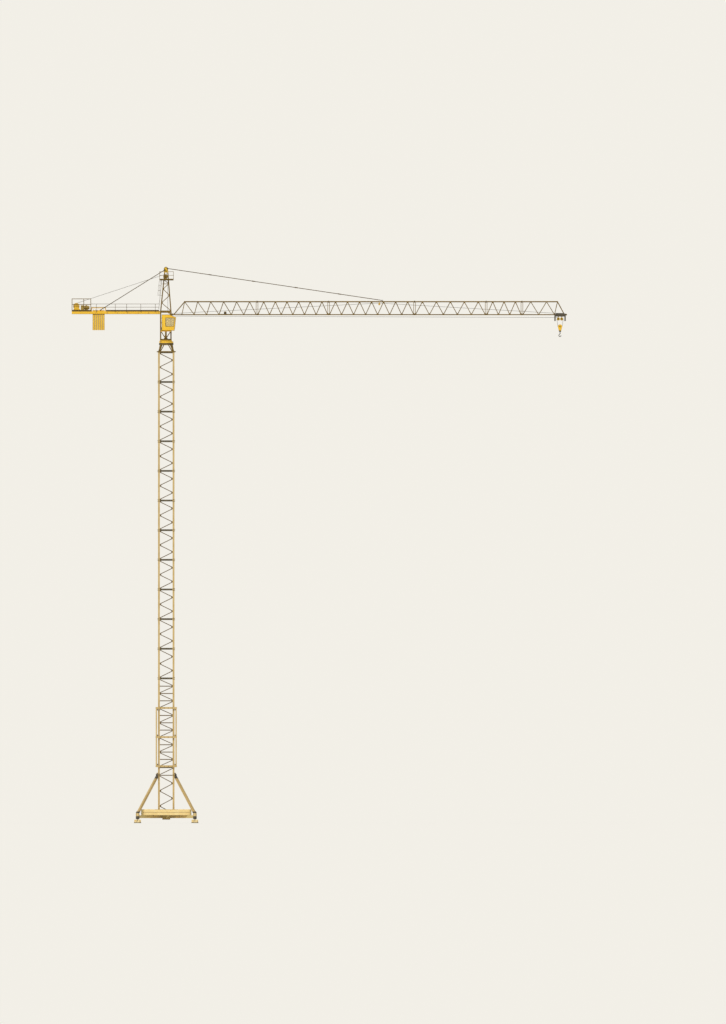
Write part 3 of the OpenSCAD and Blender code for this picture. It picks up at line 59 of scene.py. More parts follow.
# camera: a level view along +Y, so that the drawing's elevation is matched
cameraView = {"x": 13.74, "z": 21.72, "away": 60.0, "height": 71.51}

cameraData = bpy.data.cameras.new("camera")
cameraData.type = "ORTHO"
cameraData.sensor_fit = "VERTICAL"
cameraData.ortho_scale = cameraView["height"]
cameraData.clip_end = 1000.0
cameraObject = addObject("camera", cameraData)
cameraObject.location = (cameraView["x"], -cameraView["away"], cameraView["z"])
cameraObject.rotation_euler = (math.pi / 2, 0, 0)
bpy.context.scene.camera = cameraObject
bpy.context.scene.view_settings.view_transform = "Standard"


# shader helpers
def startFinish(name):
    material = bpy.data.materials.new(name)
    material.use_nodes = True
    tree = material.node_tree
    tree.nodes.clear()
    output = tree.nodes.new("ShaderNodeOutputMaterial")
    shader = tree.nodes.new("ShaderNodeBsdfPrincipled")
    tree.links.new(shader.outputs["BSDF"], output.inputs["Surface"])
    place = tree.nodes.new("ShaderNodeTexCoord").outputs["Object"]
    return material, tree, shader, place


def feed(tree, target, value):
    if isinstance(value, bpy.types.NodeSocket):
        tree.links.new(value, target)
    else:
        target.default_value = value


def maths(tree, operation, a, b=0.0, c=0.0):
    node = tree.nodes.new("ShaderNodeMath")
    node.operation = operation
    for target, value in zip(node.inputs, (a, b, c)):
        feed(tree, target, value)
    return node.outputs[0]


def colourMix(tree, share, a, b):
    node = tree.nodes.new("ShaderNodeMix")
    node.data_type = "RGBA"
    feed(tree, node.inputs[0], share)
    for target, value in ((node.inputs[6], a), (node.inputs[7], b)):
        feed(tree, target, value if isinstance(value, bpy.types.NodeSocket) else (*value, 1.0))
    return node.outputs[2]


def span(tree, value, low, high, start=0.0, end=1.0):
    node = tree.nodes.new("ShaderNodeMapRange")
    for target, part in zip(node.inputs, (value, low, high, start, end)):
        feed(tree, target, part)
    return node.outputs[0]


def cloud(tree, place, scale, detail=3.0, stretch=(1.0, 1.0, 1.0)):
    mapping = tree.nodes.new("ShaderNodeMapping")
    mapping.inputs["Scale"].default_value = stretch
    tree.links.new(place, mapping.inputs["Vector"])
    node = tree.nodes.new("ShaderNodeTexNoise")
    node.inputs["Scale"].default_value = scale
    node.inputs["Detail"].default_value = detail
    tree.links.new(mapping.outputs[0], node.inputs["Vector"])
    return node.outputs["Fac"]


def cells(tree, place, scale):
    node = tree.nodes.new("ShaderNodeTexVoronoi")
    node.inputs["Scale"].default_value = scale
    tree.links.new(place, node.inputs["Vector"])
    return node.outputs["Distance"]


def splitPlace(tree, place):
    node = tree.nodes.new("ShaderNodeSeparateXYZ")
    tree.links.new(place, node.inputs[0])
    return node.outputs[0], node.outputs[1], node.outputs[2]


def reliefOn(tree, shader, height, strength, distance):
    node = tree.nodes.new("ShaderNodeBump")
    node.inputs["Strength"].default_value = strength
    node.inputs["Distance"].default_value = distance
    tree.links.new(height, node.inputs["Height"])
    tree.links.new(node.outputs[0], shader.inputs["Normal"])


def dress(tree, shader, colour, rough, metal=0.0):
    tree.links.new(colour, shader.inputs["Base Color"])
    tree.links.new(rough, shader.inputs["Roughness"])
    shader.inputs["Metallic"].default_value = metal


# painted steel: colour fades in patches, dirt runs down, chips show the primer
def paintedSteel(name, look, tint=None):
    material, tree, shader, place = startFinish(name)
    patches = span(tree, cloud(tree, place, look["patchScale"], 3.0), 0.38, 0.62)
    colour = colourMix(tree, patches, look["colour"], look["faded"])
    if tint:
        colour = tint(tree, place, colour)
    runs = span(tree, cloud(tree, place, 3.0, 5.0, (4.0, 4.0, 0.5)), 0.52, 0.75, 0.0, look["dirt"])
    colour = colourMix(tree, runs, colour, look["dirtColour"])
    chips = span(tree, cloud(tree, place, 38.0, 4.0), 0.68, 0.71, 0.0, look["chips"])
    colour = colourMix(tree, chips, colour, look["primer"])
    fine = cloud(tree, place, 160.0, 2.0)
    rough = maths(tree, "MULTIPLY_ADD", runs, 0.35, look["rough"])
    dress(tree, shader, colour, maths(tree, "MULTIPLY_ADD", fine, 0.10, rough), look.get("metal", 0.0))
    shader.inputs["Specular IOR Level"].default_value = look.get("gloss", 0.5)
    shader.inputs["Coat Weight"].default_value = look.get("coat", 0.0)
    shader.inputs["Coat Roughness"].default_value = 0.25
    reliefOn(tree, shader, maths(tree, "SUBTRACT", fine, chips), 0.25, 0.002)
    return material


def bandMask(tree, value, low, high):
    above = maths(tree, "GREATER_THAN", value, low)
    below = maths(tree, "LESS_THAN", value, high)
    return maths(tree, "MULTIPLY", above, below)


# distance to the nearest whole step, as a share of the step
def offStep(tree, value, first, step):
    turns = maths(tree, "DIVIDE", maths(tree, "SUBTRACT", value, first), step)
    return maths(tree, "ABSOLUTE", maths(tree, "SUBTRACT", turns, maths(tree, "ROUND", turns)))


# the smaller distance from the mast's two middle planes
def offMiddle(tree, x, y):
    return maths(tree, "MINIMUM", maths(tree, "ABSOLUTE", x), maths(tree, "ABSOLUTE", y))


# mast: tan chords, grey-brown diagonals, dark horizontals at the section joints
mastTint = {
    "chordFrom": 0.443,
    "chord": (0.54, 0.375, 0.13),
    "chordFaded": (0.60, 0.43, 0.17),
    "brace": (0.120, 0.076, 0.022),
    "joint": (0.070, 0.055, 0.024),
    "jointHeight": 0.072,
    "firstJoint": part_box("mast_section_01")[0].z,
    "sectionLength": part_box("mast_section_02")[0].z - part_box("mast_section_01")[0].z,
    "footJoint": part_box("base_section")[0].z,
}


def tintMast(tree, place, colour):
    t = mastTint
    x, y, z = splitPlace(tree, place)
    chord = maths(tree, "GREATER_THAN", offMiddle(tree, x, y), t["chordFrom"])
    off = offStep(tree, z, t["firstJoint"], t["sectionLength"])
    near = maths(tree, "LESS_THAN", off, t["jointHeight"] / t["sectionLength"])
    near = maths(tree, "MULTIPLY", near, maths(tree, "GREATER_THAN", z, t["firstJoint"] - 0.1))
    foot = bandMask(tree, z, t["footJoint"] - t["jointHeight"], t["footJoint"] + t["jointHeight"])
    bars = colourMix(tree, maths(tree, "MAXIMUM", near, foot), t["brace"], t["joint"])
    patches = span(tree, cloud(tree, place, 2.2, 3.0), 0.4, 0.6)
    return colourMix(tree, chord, bars, colourMix(tree, patches, t["chord"], t["chordFaded"]))


# struts: dark shoes at both ends
strutTint = {"low": 0.80, "high": 3.11, "outside": 0.580, "shoe": (0.05, 0.04, 0.025)}


def tintStruts(tree, place, colour):
    x, y, z = splitPlace(tree, place)
    wide = maths(tree, "GREATER_THAN", offMiddle(tree, x, y), strutTint["outside"])
    head = maths(tree, "MULTIPLY", wide, maths(tree, "GREATER_THAN", z, strutTint["high"]))
    dark = maths(tree, "MAXIMUM", head, maths(tree, "LESS_THAN", z, strutTint["low"]))
    return colourMix(tree, dark, colour, strutTint["shoe"])


# trolley: dark cheeks and legs, yellow sheaves and sheave plates between them
trolleyTint = {"below": 35.345, "from": 27.285, "to": 27.715, "plate": (0.92, 0.60, 0.06)}


def tintTrolley(tree, place, colour):
    t = trolleyTint
    x, y, z = splitPlace(tree, place)
    low = maths(tree, "LESS_THAN", z, t["below"])
    within = maths(tree, "MULTIPLY", bandMask(tree, x, t["from"], t["to"]), low)
    return colourMix(tree, within, colour, t["plate"])


# the heights between which a finish keeps its colour, and the colour of the rest
bandTints = {
    "head": (0.0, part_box("tower_head")[1].z - 0.40, (0.80, 0.50, 0.02)),  # yellow plates on top
    "shoe": (0.042, 1.0, (0.07, 0.055, 0.03)),  # dark sole
    "corner": (0.475, 0.70, (0.055, 0.045, 0.028)),  # dark spindle and base
    "block": (34.40, 36.0, (0.05, 0.042, 0.028)),  # dark crosshead
}


def tintBand(part):
    low, high, rest = bandTints[part]

    def tint(tree, place, colour):
        return colourMix(tree, bandMask(tree, splitPlace(tree, place)[2], low, high), rest, colour)

    return tint


latticeLook = {
    "colour": (0.165, 0.098, 0.008), "faded": (0.205, 0.125, 0.012), "patchScale": 0.9,
    "dirt": 0.35, "dirtColour": (0.10, 0.07, 0.03), "chips": 0.5, "primer": (0.16, 0.06, 0.03),
    "rough": 0.42, "coat": 0.1, "gloss": 0.35,
}
panelLook = {
    "colour": (0.90, 0.50, 0.005), "faded": (0.93, 0.56, 0.02), "patchScale": 1.2,
    "dirt": 0.30, "dirtColour": (0.35, 0.22, 0.06), "chips": 0.6, "primer": (0.20, 0.08, 0.04),
    "rough": 0.32, "coat": 0.35,
}
creamLook = {
    "colour": (0.80, 0.62, 0.27), "faded": (0.86, 0.70, 0.36), "patchScale": 1.5,
    "dirt": 0.35, "dirtColour": (0.30, 0.22, 0.11), "chips": 0.6, "primer": (0.25, 0.11, 0.06),
    "rough": 0.45, "coat": 0.1,
}
strutLook = dict(creamLook, colour=(0.47, 0.325, 0.115), faded=(0.54, 0.38, 0.15), dirt=0.25)
beamLook = dict(creamLook, colour=(0.52, 0.40, 0.15), faded=(0.58, 0.45, 0.18), dirt=0.1, chips=0.15)
darkLook = {
    "colour": (0.055, 0.045, 0.028), "faded": (0.085, 0.070, 0.045), "patchScale": 3.0,
    "dirt": 0.5, "dirtColour": (0.16, 0.12, 0.07), "chips": 0.8, "primer": (0.20, 0.10, 0.05),
    "rough": 0.5, "gloss": 0.3,
}
machineLook = dict(darkLook, colour=(0.46, 0.30, 0.04), faded=(0.54, 0.36, 0.06), rough=0.36, coat=0.3,
                   gloss=0.5)
tieLook = dict(darkLook, colour=(0.080, 0.048, 0.008), faded=(0.105, 0.064, 0.012), dirt=0.15, chips=0.25,
               gloss=0.2)
boltLook = dict(darkLook, colour=(0.12, 0.11, 0.09), faded=(0.2, 0.18, 0.15), metal=0.7, rough=0.4)
railLook = dict(latticeLook, colour=(0.075, 0.044, 0.005), faded=(0.10, 0.060, 0.008), patchScale=2.5,
                dirt=0.2, chips=0.3, coat=0.0, gloss=0.2)
pulleyLook = dict(panelLook, colour=(0.60, 0.36, 0.02), faded=(0.68, 0.42, 0.04), patchScale=4.0)
chordLook = dict(creamLook, colour=mastTint["chord"], faded=mastTint["chordFaded"])

latticePaint = paintedSteel("latticePaint", latticeLook)
railPaint = paintedSteel("railPaint", railLook)
pulleyPaint = paintedSteel("pulleyPaint", pulleyLook)
cornerPaint = paintedSteel("cornerPaint", creamLook, tintBand("corner"))
trolleyPaint = paintedSteel("trolleyPaint", darkLook, tintTrolley)
blockPaint = paintedSteel("blockPaint", panelLook, tintBand("block"))
headPaint = paintedSteel("headPaint", latticeLook, tintBand("head"))
panelPaint = paintedSteel("panelPaint", panelLook)
mastPaint = paintedSteel("mastPaint", creamLook, tintMast)
shoePaint = paintedSteel("shoePaint", creamLook, tintBand("shoe"))
strutPaint = paintedSteel("strutPaint", strutLook, tintStruts)
beamPaint = paintedSteel("beamPaint", beamLook)
creamPaint = paintedSteel("creamPaint", chordLook)
darkSteel = paintedSteel("darkSteel", darkLook)
machinePaint = paintedSteel("machinePaint", machineLook)
tieSteel = paintedSteel("tieSteel", tieLook)
boltSteel = paintedSteel("boltSteel", boltLook)


# cast slabs: form-board marks, air holes and stains; dark lines along the slabs' edges are painted shade in the
# joints between slabs, with dirt
def castSlabs(name, look, edges):
    material, tree, shader, place = startFinish(name)
    x, y, z = splitPlace(tree, place)
    mottled = span(tree, cloud(tree, place, 2.4, 6.0), 0.36, 0.66)
    colour = colourMix(tree, mottled, look["colour"], look["worn"])
    boards = cloud(tree, place, 7.0, 2.0, (0.15, 0.15, 2.0))
    colour = colourMix(tree, span(tree, boards, 0.5, 0.7, 0.0, 0.35), colour, look["board"])
    pits = span(tree, cells(tree, place, 22.0), 0.05, 0.12, 1.0, 0.0)
    colour = colourMix(tree, maths(tree, "MULTIPLY", pits, 0.5), colour, look["pit"])
    # painted shade, with dirt, along the slab joints, in the edge colour
    colour = colourMix(tree, edges(tree, x, y, z), colour, look["edge"])
    dress(tree, shader, colour, span(tree, mottled, 0.0, 1.0, 0.78, 0.92))
    rough = cloud(tree, place, 60.0, 5.0)
    reliefOn(tree, shader, maths(tree, "SUBTRACT", rough, pits), 0.45, 0.004)
    return material


# where the slabs' joints get painted shade, with dirt: heights, first place, pitch and line widths
slabShadeLines = {
    "ballast": [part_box("ballast_lower")[0].z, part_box("ballast_upper")[0].z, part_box("ballast_upper")[1].z],
    "ballastShadeLine": 0.016,
    "weightFirst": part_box("counterweights")[0].x,
    "weightStep": 0.141,
    "weightShadeLine": 0.014,
}


# keeps the painted shade lines off the faces that look along the given axis
def sidesOnly(tree, axis, lines):
    normal = tree.nodes.new("ShaderNodeTexCoord").outputs["Normal"]
    away = maths(tree, "ABSOLUTE", splitPlace(tree, normal)[axis])
    return maths(tree, "MULTIPLY", lines, maths(tree, "LESS_THAN", away, 0.5))


# painted shade, with dirt, along the ballast slabs' joints and edges, at 0.8 strength
def ballastJointShade(tree, x, y, z):
    lines = 0.0
    for level in slabShadeLines["ballast"]:
        away = maths(tree, "ABSOLUTE", maths(tree, "SUBTRACT", z, level))
        lines = maths(tree, "MAXIMUM", maths(tree, "LESS_THAN", away, slabShadeLines["ballastShadeLine"]), lines)
    return maths(tree, "MULTIPLY", sidesOnly(tree, 2, lines), 0.8)


# painted shade, with dirt, in the joints between the counterweight slabs
def weightJointShade(tree, x, y, z):
    s = slabShadeLines
    off = offStep(tree, x, s["weightFirst"] - 0.0025, s["weightStep"])
    return sidesOnly(tree, 0, maths(tree, "LESS_THAN", off, s["weightShadeLine"] / s["weightStep"]))


# edge: the colour of the painted shade, with dirt, in the slab joints
ballastLook = {"colour": (0.84, 0.62, 0.25), "worn": (0.90, 0.71, 0.33), "board": (0.66, 0.50, 0.22),
               "pit": (0.40, 0.30, 0.14), "edge": (0.26, 0.17, 0.07)}
weightLook = {"colour": (0.78, 0.46, 0.03), "worn": (0.85, 0.53, 0.07), "board": (0.55, 0.36, 0.06),
              "pit": (0.35, 0.22, 0.05), "edge": (0.13, 0.09, 0.03)}
ballastConcrete = castSlabs("ballastConcrete", ballastLook, ballastJointShade)
weightConcrete = castSlabs("weightConcrete", weightLook, weightJointShade)


# zinc grating: spangles and scuffs
def zincGrating():
    material, tree, shader, place = startFinish("zincGrating")
    spangle = span(tree, cells(tree, place, 45.0), 0.1, 0.8)
    colour = colourMix(tree, spangle, (0.12, 0.085, 0.030), (0.19, 0.14, 0.06))
    scuffs = span(tree, cloud(tree, place, 4.0, 5.0), 0.5, 0.7)
    colour = colourMix(tree, scuffs, colour, (0.08, 0.065, 0.04))
    dress(tree, shader, colour, span(tree, scuffs, 0.0, 1.0, 0.38, 0.7), 0.35)
    reliefOn(tree, shader, cloud(tree, place, 120.0, 3.0), 0.3, 0.002)
    return material


# greased steel: turned metal with grease film
def greasedSteel(name, colour, film):
    material, tree, shader, place = startFinish(name)
    smear = span(tree, cloud(tree, place, 9.0, 5.0), 0.42, 0.64)
    dress(tree, shader, colourMix(tree, smear, colour, film), span(tree, smear, 0.0, 1.0, 0.28, 0.6), 0.8)
    reliefOn(tree, shader, cloud(tree, place, 90.0, 3.0, (1.0, 4.0, 1.0)), 0.2, 0.001)
    return material


# wire rope: strands are short slanting bands round the rope
def wireRope(name, lay):
    material, tree, shader, place = startFinish(name)
    wave = tree.nodes.new("ShaderNodeTexWave")
    wave.bands_direction = "DIAGONAL"
    wave.inputs["Scale"].default_value = lay["scale"]
    wave.inputs["Distortion"].default_value = 0.6
    tree.links.new(place, wave.inputs["Vector"])
    band = wave.outputs["Fac"]
    colour = colourMix(tree, band, lay["groove"], lay["wire"])
    dress(tree, shader, colour, span(tree, band, 0.0, 1.0, 0.65, 0.4), 0.2)
    shader.inputs["Specular IOR Level"].default_value = 0.25
    reliefOn(tree, shader, band, 0.7, 0.002)
    return material


# cab panes: tinted glass with a film of dust
def cabPane():
    material, tree, shader, place = startFinish("cabPane")
    dust = span(tree, cloud(tree, place, 3.0, 4.0), 0.5, 0.8, 0.0, 0.35)
    colour = colourMix(tree, dust, (0.95, 0.80, 0.42), (0.88, 0.68, 0.28))
    dress(tree, shader, colour, span(tree, dust, 0.0, 1.0, 0.01, 0.06))
    shader.inputs["Transmission Weight"].default_value = 0.6
    shader.inputs["IOR"].default_value = 1.45
    return material


gratingZinc = zincGrating()
bareSteel = greasedSteel("bareSteel", (0.16, 0.145, 0.12), (0.05, 0.042, 0.03))
ropeLay = {"scale": 26.0, "groove": (0.02, 0.013, 0.004), "wire": (0.075, 0.048, 0.012)}
ropeWire = wireRope("ropeWire", ropeLay)
pane = cabPane()

nodeFinish = {  # a node that isn't here has the lattice's paint
    "foot_shoes": shoePaint, "corner_heads": cornerPaint, "cross_beam": beamPaint, "cross_arms": beamPaint,
    "struts": strutPaint, "ballast_lower": ballastConcrete, "ballast_upper": ballastConcrete,
    "foot_section": mastPaint, "base_section": mastPaint, "climbing_frame": creamPaint,
    "counterweights": weightConcrete, "counter_jib_deck": gratingZinc, "cab_shell": panelPaint,
    "cab_door": panelPaint, "counter_jib_frame": panelPaint, "cab_glass": pane, "tower_head": headPaint,
    "slewing_gear": machinePaint, "winch_motor": machinePaint, "cab_bracket": panelPaint,
    "winch_frame": panelPaint, "trolley_winch": darkSteel, "trolley_frame": trolleyPaint,
    "hook_block": blockPaint, "jib_tie": tieSteel, "counter_jib_ties": tieSteel, "rope_pulleys": pulleyPaint,
    "hoist_drum": pulleyPaint, "trolley_drum": pulleyPaint, "trolley_wheels": trolleyPaint,
    "hook": darkSteel, "slewing_deck": panelPaint, "head_ladder": railPaint,
    "counter_jib_railing": railPaint, "hoist_rope": ropeWire, "rope_falls": ropeWire,
}
mastNames = [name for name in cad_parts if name.startswith("mast_section")]
nodeFinish.update({name: mastPaint for name in mastNames})
for nodeName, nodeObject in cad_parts.items():
    nodeObject.data.materials.clear()
    nodeObject.data.materials.append(nodeFinish.get(nodeName, latticePaint))

print("finishes on every node")


# Geometry Nodes helpers
def startTree(name, inputs):
    tree = bpy.data.node_groups.new(name, "GeometryNodeTree")
    tree.interface.new_socket("Geometry", in_out="INPUT", socket_type="NodeSocketGeometry")
    for label, value in inputs.items():
        kind = "NodeSocketInt" if isinstance(value, int) else "NodeSocketFloat"
        tree.interface.new_socket(label, in_out="INPUT", socket_type=kind).default_value = value
    tree.interface.new_socket("Material", in_out="INPUT", socket_type="NodeSocketMaterial")
    tree.interface.new_socket("Geometry", in_out="OUTPUT", socket_type="NodeSocketGeometry")
    return tree, tree.nodes.new("NodeGroupInput").outputs


def geo(tree, kind, links, **settings):
    node = tree.nodes.new("GeometryNode" + kind)
    for key, value in settings.items():
        setattr(node, key, value)
    for key, value in links.items():
        feed(tree, node.inputs[key], value)
    return node


def joinAll(tree, parts):
    node = tree.nodes.new("GeometryNodeJoinGeometry")
    for part in reversed(parts):
        tree.links.new(part, node.inputs[0])
    return node.outputs[0]


def moved(tree, part, offset, turn=(0.0, 0.0, 0.0)):
    return geo(tree, "Transform", {"Geometry": part, "Translation": offset, "Rotation": turn}).outputs[0]


def upBy(tree, height):
    node = tree.nodes.new("ShaderNodeCombineXYZ")
    tree.links.new(height, node.inputs[2])
    return node.outputs[0]


def halfOf(tree, value):
    return maths(tree, "MULTIPLY", value, 0.5)


def prism(tree, sides, radius, height):
    node = geo(tree, "MeshCylinder", {"Vertices": sides, "Radius": radius, "Depth": height})
    return node.outputs["Mesh"]


def named(tree, label):
    return geo(tree, "InputNamedAttribute", {"Name": label}, data_type="FLOAT_VECTOR").outputs["Attribute"]


def closeTree(tree, part, source):
    real = geo(tree, "RealizeInstances", {"Geometry": part}).outputs[0]
    shown = geo(tree, "SetMaterial", {"Geometry": real, "Material": source["Material"]}).outputs[0]
    tree.links.new(shown, tree.nodes.new("NodeGroupOutput").inputs[0])


# sets the shape on every point of the given mesh, turned and sized by the points' attributes
def onPoints(tree, shape, source):
    turn = tree.nodes.new("FunctionNodeEulerToRotation")
    tree.links.new(named(tree, "turn"), turn.inputs[0])
    node = geo(tree, "InstanceOnPoints", {
        "Points": source["Geometry"], "Instance": shape,
        "Rotation": turn.outputs[0], "Scale": named(tree, "size")})
    closeTree(tree, node.outputs[0], source)


def pointMesh(name, places, turns=None, sizes=None):
    mesh = bpy.data.meshes.new(name)
    mesh.from_pydata([tuple(p) for p in places], [], [])
    for label, values, plain in (("turn", turns, (0, 0, 0)), ("size", sizes, (1, 1, 1))):
        attribute = mesh.attributes.new(label, "FLOAT_VECTOR", "POINT")
        flat = [part for i in range(len(places)) for part in (values[i] if values else plain)]
        attribute.data.foreach_set("vector", flat)
    return mesh


def edgeMesh(name, runs):
    points, edges = [], []
    for run in runs:
        start = len(points)
        points += [tuple(p) for p in run]
        edges += [(start + i, start + i + 1) for i in range(len(run) - 1)]
    mesh = bpy.data.meshes.new(name)
    mesh.from_pydata(points, edges, [])
    return mesh


def outward(mesh):
    work = bmesh.new()
    work.from_mesh(mesh)
    bmesh.ops.remove_doubles(work, verts=work.verts, dist=0.00001)
    bmesh.ops.recalc_face_normals(work, faces=work.faces)
    work.to_mesh(mesh)
    work.free()


def addPiece(name, mesh, finish, body, smooth=False):
    mesh.materials.clear()
    mesh.materials.append(finish)
    for face in mesh.polygons:
        face.use_smooth = smooth
    piece = addObject(name, mesh)
    if body:
        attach(piece, body)
    return piece


# runs a tree on a mesh and keeps the result as a plain mesh piece
def growPiece(name, mesh, tree, values, finish, body, smooth=False):
    holder = addObject(name + "Source", mesh)
    modifier = holder.modifiers.new("grow", "NODES")
    modifier.node_group = tree
    settings = dict(values, Material=finish)
    for item in tree.interface.items_tree:
        if item.in_out == "INPUT" and item.name in settings:
            modifier[item.identifier] = settings[item.name]
    graph = bpy.context.evaluated_depsgraph_get()
    result = bpy.data.meshes.new_from_object(holder.evaluated_get(graph))
    holder.modifiers.remove(modifier)
    bpy.data.objects.remove(holder)
    outward(result)
    result.name = name
    for label in ("turn", "size"):
        if label in result.attributes:
            result.attributes.remove(result.attributes[label])
    addPiece(name, result, finish, body, smooth)


# a round bar along a curve
def sweep(tree, curve, sides, radius):
    ring = geo(tree, "CurvePrimitiveCircle", {"Resolution": sides, "Radius": radius}).outputs[0]
    return geo(tree, "CurveToMesh", {"Curve": curve, "Profile Curve": ring, "Fill Caps": True}).outputs[0]


# hexagon bolt on a washer, standing on +Z
boltTree, source = startTree("hexBolt", {
    "Head Radius": 0.016, "Head Height": 0.014, "Washer Radius": 0.024, "Washer Height": 0.005})
washer = moved(boltTree, prism(boltTree, 12, source["Washer Radius"], source["Washer Height"]),
               upBy(boltTree, halfOf(boltTree, source["Washer Height"])))
headMiddle = maths(boltTree, "MULTIPLY_ADD", source["Head Height"], 0.5, source["Washer Height"])
head = prism(boltTree, 6, source["Head Radius"], source["Head Height"])
head = moved(boltTree, head, upBy(boltTree, headMiddle))
onPoints(boltTree, joinAll(boltTree, [washer, head]), source)

# gusset plate: an eight-sided plate, sized per point
plateTree, source = startTree("gussetPlate", {"Corner Radius": 0.54})
plate = prism(plateTree, 8, source["Corner Radius"], 1.0)
onPoints(plateTree, moved(plateTree, plate, (0, 0, 0), (0, 0, math.pi / 8)), source)

# round bar along every edge of a mesh
barTree, source = startTree("barAlongEdges", {"Radius": 0.01, "Sides": 8})
path = geo(barTree, "MeshToCurve", {"Mesh": source["Geometry"]}).outputs[0]
closeTree(barTree, sweep(barTree, path, source["Sides"], source["Radius"]), source)

# rope wound on a drum lying along Y
windingTree, source = startTree("ropeWinding", {
    "Turns": 10.0, "Drum Radius": 0.2, "Width": 0.4, "Rope Radius": 0.01})
coil = geo(windingTree, "CurveSpiral", {
    "Resolution": 28, "Rotations": source["Turns"], "Start Radius": source["Drum Radius"],
    "End Radius": source["Drum Radius"], "Height": source["Width"]}).outputs[0]
coil = moved(windingTree, coil, upBy(windingTree, maths(windingTree, "MULTIPLY", source["Width"], -0.5)))
coil = moved(windingTree, coil, (0, 0, 0), (math.pi / 2, 0, 0))
wound = sweep(windingTree, coil, 7, source["Rope Radius"])
placed = geo(windingTree, "InstanceOnPoints", {"Points": source["Geometry"], "Instance": wound}).outputs[0]
closeTree(windingTree, placed, source)
print("trees ready")


# bevelled blocks in one mesh, each given by its lowest and highest corner
def blockPiece(name, blocks, finish, body, chamfer=0.003):
    work = bmesh.new()
    for low, high in blocks:
        for vertex in bmesh.ops.create_cube(work, size=1.0)["verts"]:
            vertex.co = [low[i] if vertex.co[i] < 0 else high[i] for i in range(3)]
    bmesh.ops.bevel(work, geom=work.edges[:], offset=chamfer, segments=1, affect="EDGES")
    bmesh.ops.recalc_face_normals(work, faces=work.faces)
    mesh = bpy.data.meshes.new(name)
    work.to_mesh(mesh)
    work.free()
    addPiece(name, mesh, finish, body)


def around(centre, size):
    return [c - s / 2 for c, s in zip(centre, size)], [c + s / 2 for c, s in zip(centre, size)]


def circle(count):
    turns = [2 * math.pi * i / count for i in range(count)]
    return [(math.cos(a), math.sin(a)) for a in turns]


def closed(points):
    return points + points[:1]


def hoop(x, y, z, radius, count):  # a ring in the XZ plane
    return closed([(x + c * radius, y, z + s * radius) for c, s in circle(count)])


def middleOf(node):
    low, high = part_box(node)
    return (low + high) / 2


# four blocks along the edges of a rectangle; the two along Y stop short of its corners
def rimBlocks(low, high, z, thick, tall, short=0.0):
    blocks = [((low[0], y, z), (high[0], y + thick, z + tall)) for y in (low[1], high[1] - thick)]
    return blocks + [((x, low[1] + short, z), (x + thick, high[1] - short, z + tall))
                     for x in (low[0], high[0] - thick)]


# closed tubes in one mesh: each is a list of rings with the same number of points
def tubeMesh(name, tubes):
    points, faces = [], []
    for rings in tubes:
        first, count = len(points), len(rings[0])
        points += [tuple(p) for ring in rings for p in ring]
        last = len(points) - count
        for low in range(first, last, count):
            faces += [(low + i, low + (i + 1) % count, low + count + (i + 1) % count, low + count + i)
                      for i in range(count)]
        faces += [tuple(range(first + count - 1, first - 1, -1)), tuple(range(last, last + count))]
    mesh = bpy.data.meshes.new(name)
    mesh.from_pydata(points, [], faces)
    outward(mesh)
    return mesh


def faceAxes(way):
    up = Vector(way).normalized()
    side = up.cross(Vector((0, 0, 1)))
    side = side.normalized() if side.length > 0.1 else Vector((1, 0, 0))
    return up, side, up.cross(side)


# turned parts in one mesh: each has a place, an axis and a profile of (radius, distance along the axis)
def turnedPiece(name, parts, finish, body, sides=28, smooth=False):
    tubes = []
    for place, way, profile in parts:
        up, side, other = faceAxes(way)
        tubes.append([[Vector(place) + up * along + (side * c + other * s) * radius for c, s in circle(sides)]
                      for radius, along in profile])
    return addPiece(name, tubeMesh(name, tubes), finish, body, smooth)


def discProfile(radius, length, chamfer=0.004):
    half = length / 2
    after = [(radius, half - chamfer), (radius - chamfer, half)]
    return [(wide, -along) for wide, along in reversed(after)] + after


# a pin through a hole, with a collar and a nut at each end; the length is over the collars
def pinProfile(radius, length):
    collar, nut = radius * 1.55, radius * 0.9
    end = [(radius, 0), (collar, 0), (collar, 0.35), (nut, 0.4), (nut, 0.8), (nut * 0.8, 1.0)]
    after = [(wide, length / 2 + along * radius) for wide, along in end]
    return [(wide, -along) for wide, along in reversed(after)] + after


def alongY(spots, profile):
    return [(spot, (0, 1, 0), profile) for spot in spots]


def pinPiece(name, spots, pin, body, sides=24):
    turnedPiece(name, alongY(spots, pinProfile(*pin)), darkSteel, body, sides)


# angle bars: an L-shaped section drawn from end to end
def anglePiece(name, runs, leg, finish, body, thick=0.006):
    section = [(0, 0), (leg, 0), (leg, thick), (thick, thick), (thick, leg), (0, leg)]
    tubes = []
    for run in runs:
        start, end = (Vector(p) for p in run)
        up, side, other = faceAxes(end - start)
        tubes.append([[spot + side * (a - leg / 2) + other * (b - leg / 2) for a, b in section]
                      for spot in (start, end)])
    addPiece(name, tubeMesh(name, tubes), finish, body)


def barPiece(name, runs, radius, finish, body, sides=8):
    growPiece(name, edgeMesh(name, runs), barTree, {"Radius": radius, "Sides": sides}, finish, body)


def boltPiece(name, spots, radius, body):
    values = {"Head Radius": radius, "Head Height": radius * 0.85, "Washer Radius": radius * 1.4,
              "Washer Height": radius * 0.3}
    mesh = pointMesh(name, [place for place, way in spots], [faceTurns[way] for place, way in spots])
    growPiece(name, mesh, boltTree, values, boltSteel, body)


def platePiece(name, plates, finish, body):
    growPiece(name, pointMesh(name, *zip(*plates)), plateTree, {}, finish, body)


def corners(half):
    return [(sx * half, sy * half) for sx in (-1, 1) for sy in (-1, 1)]


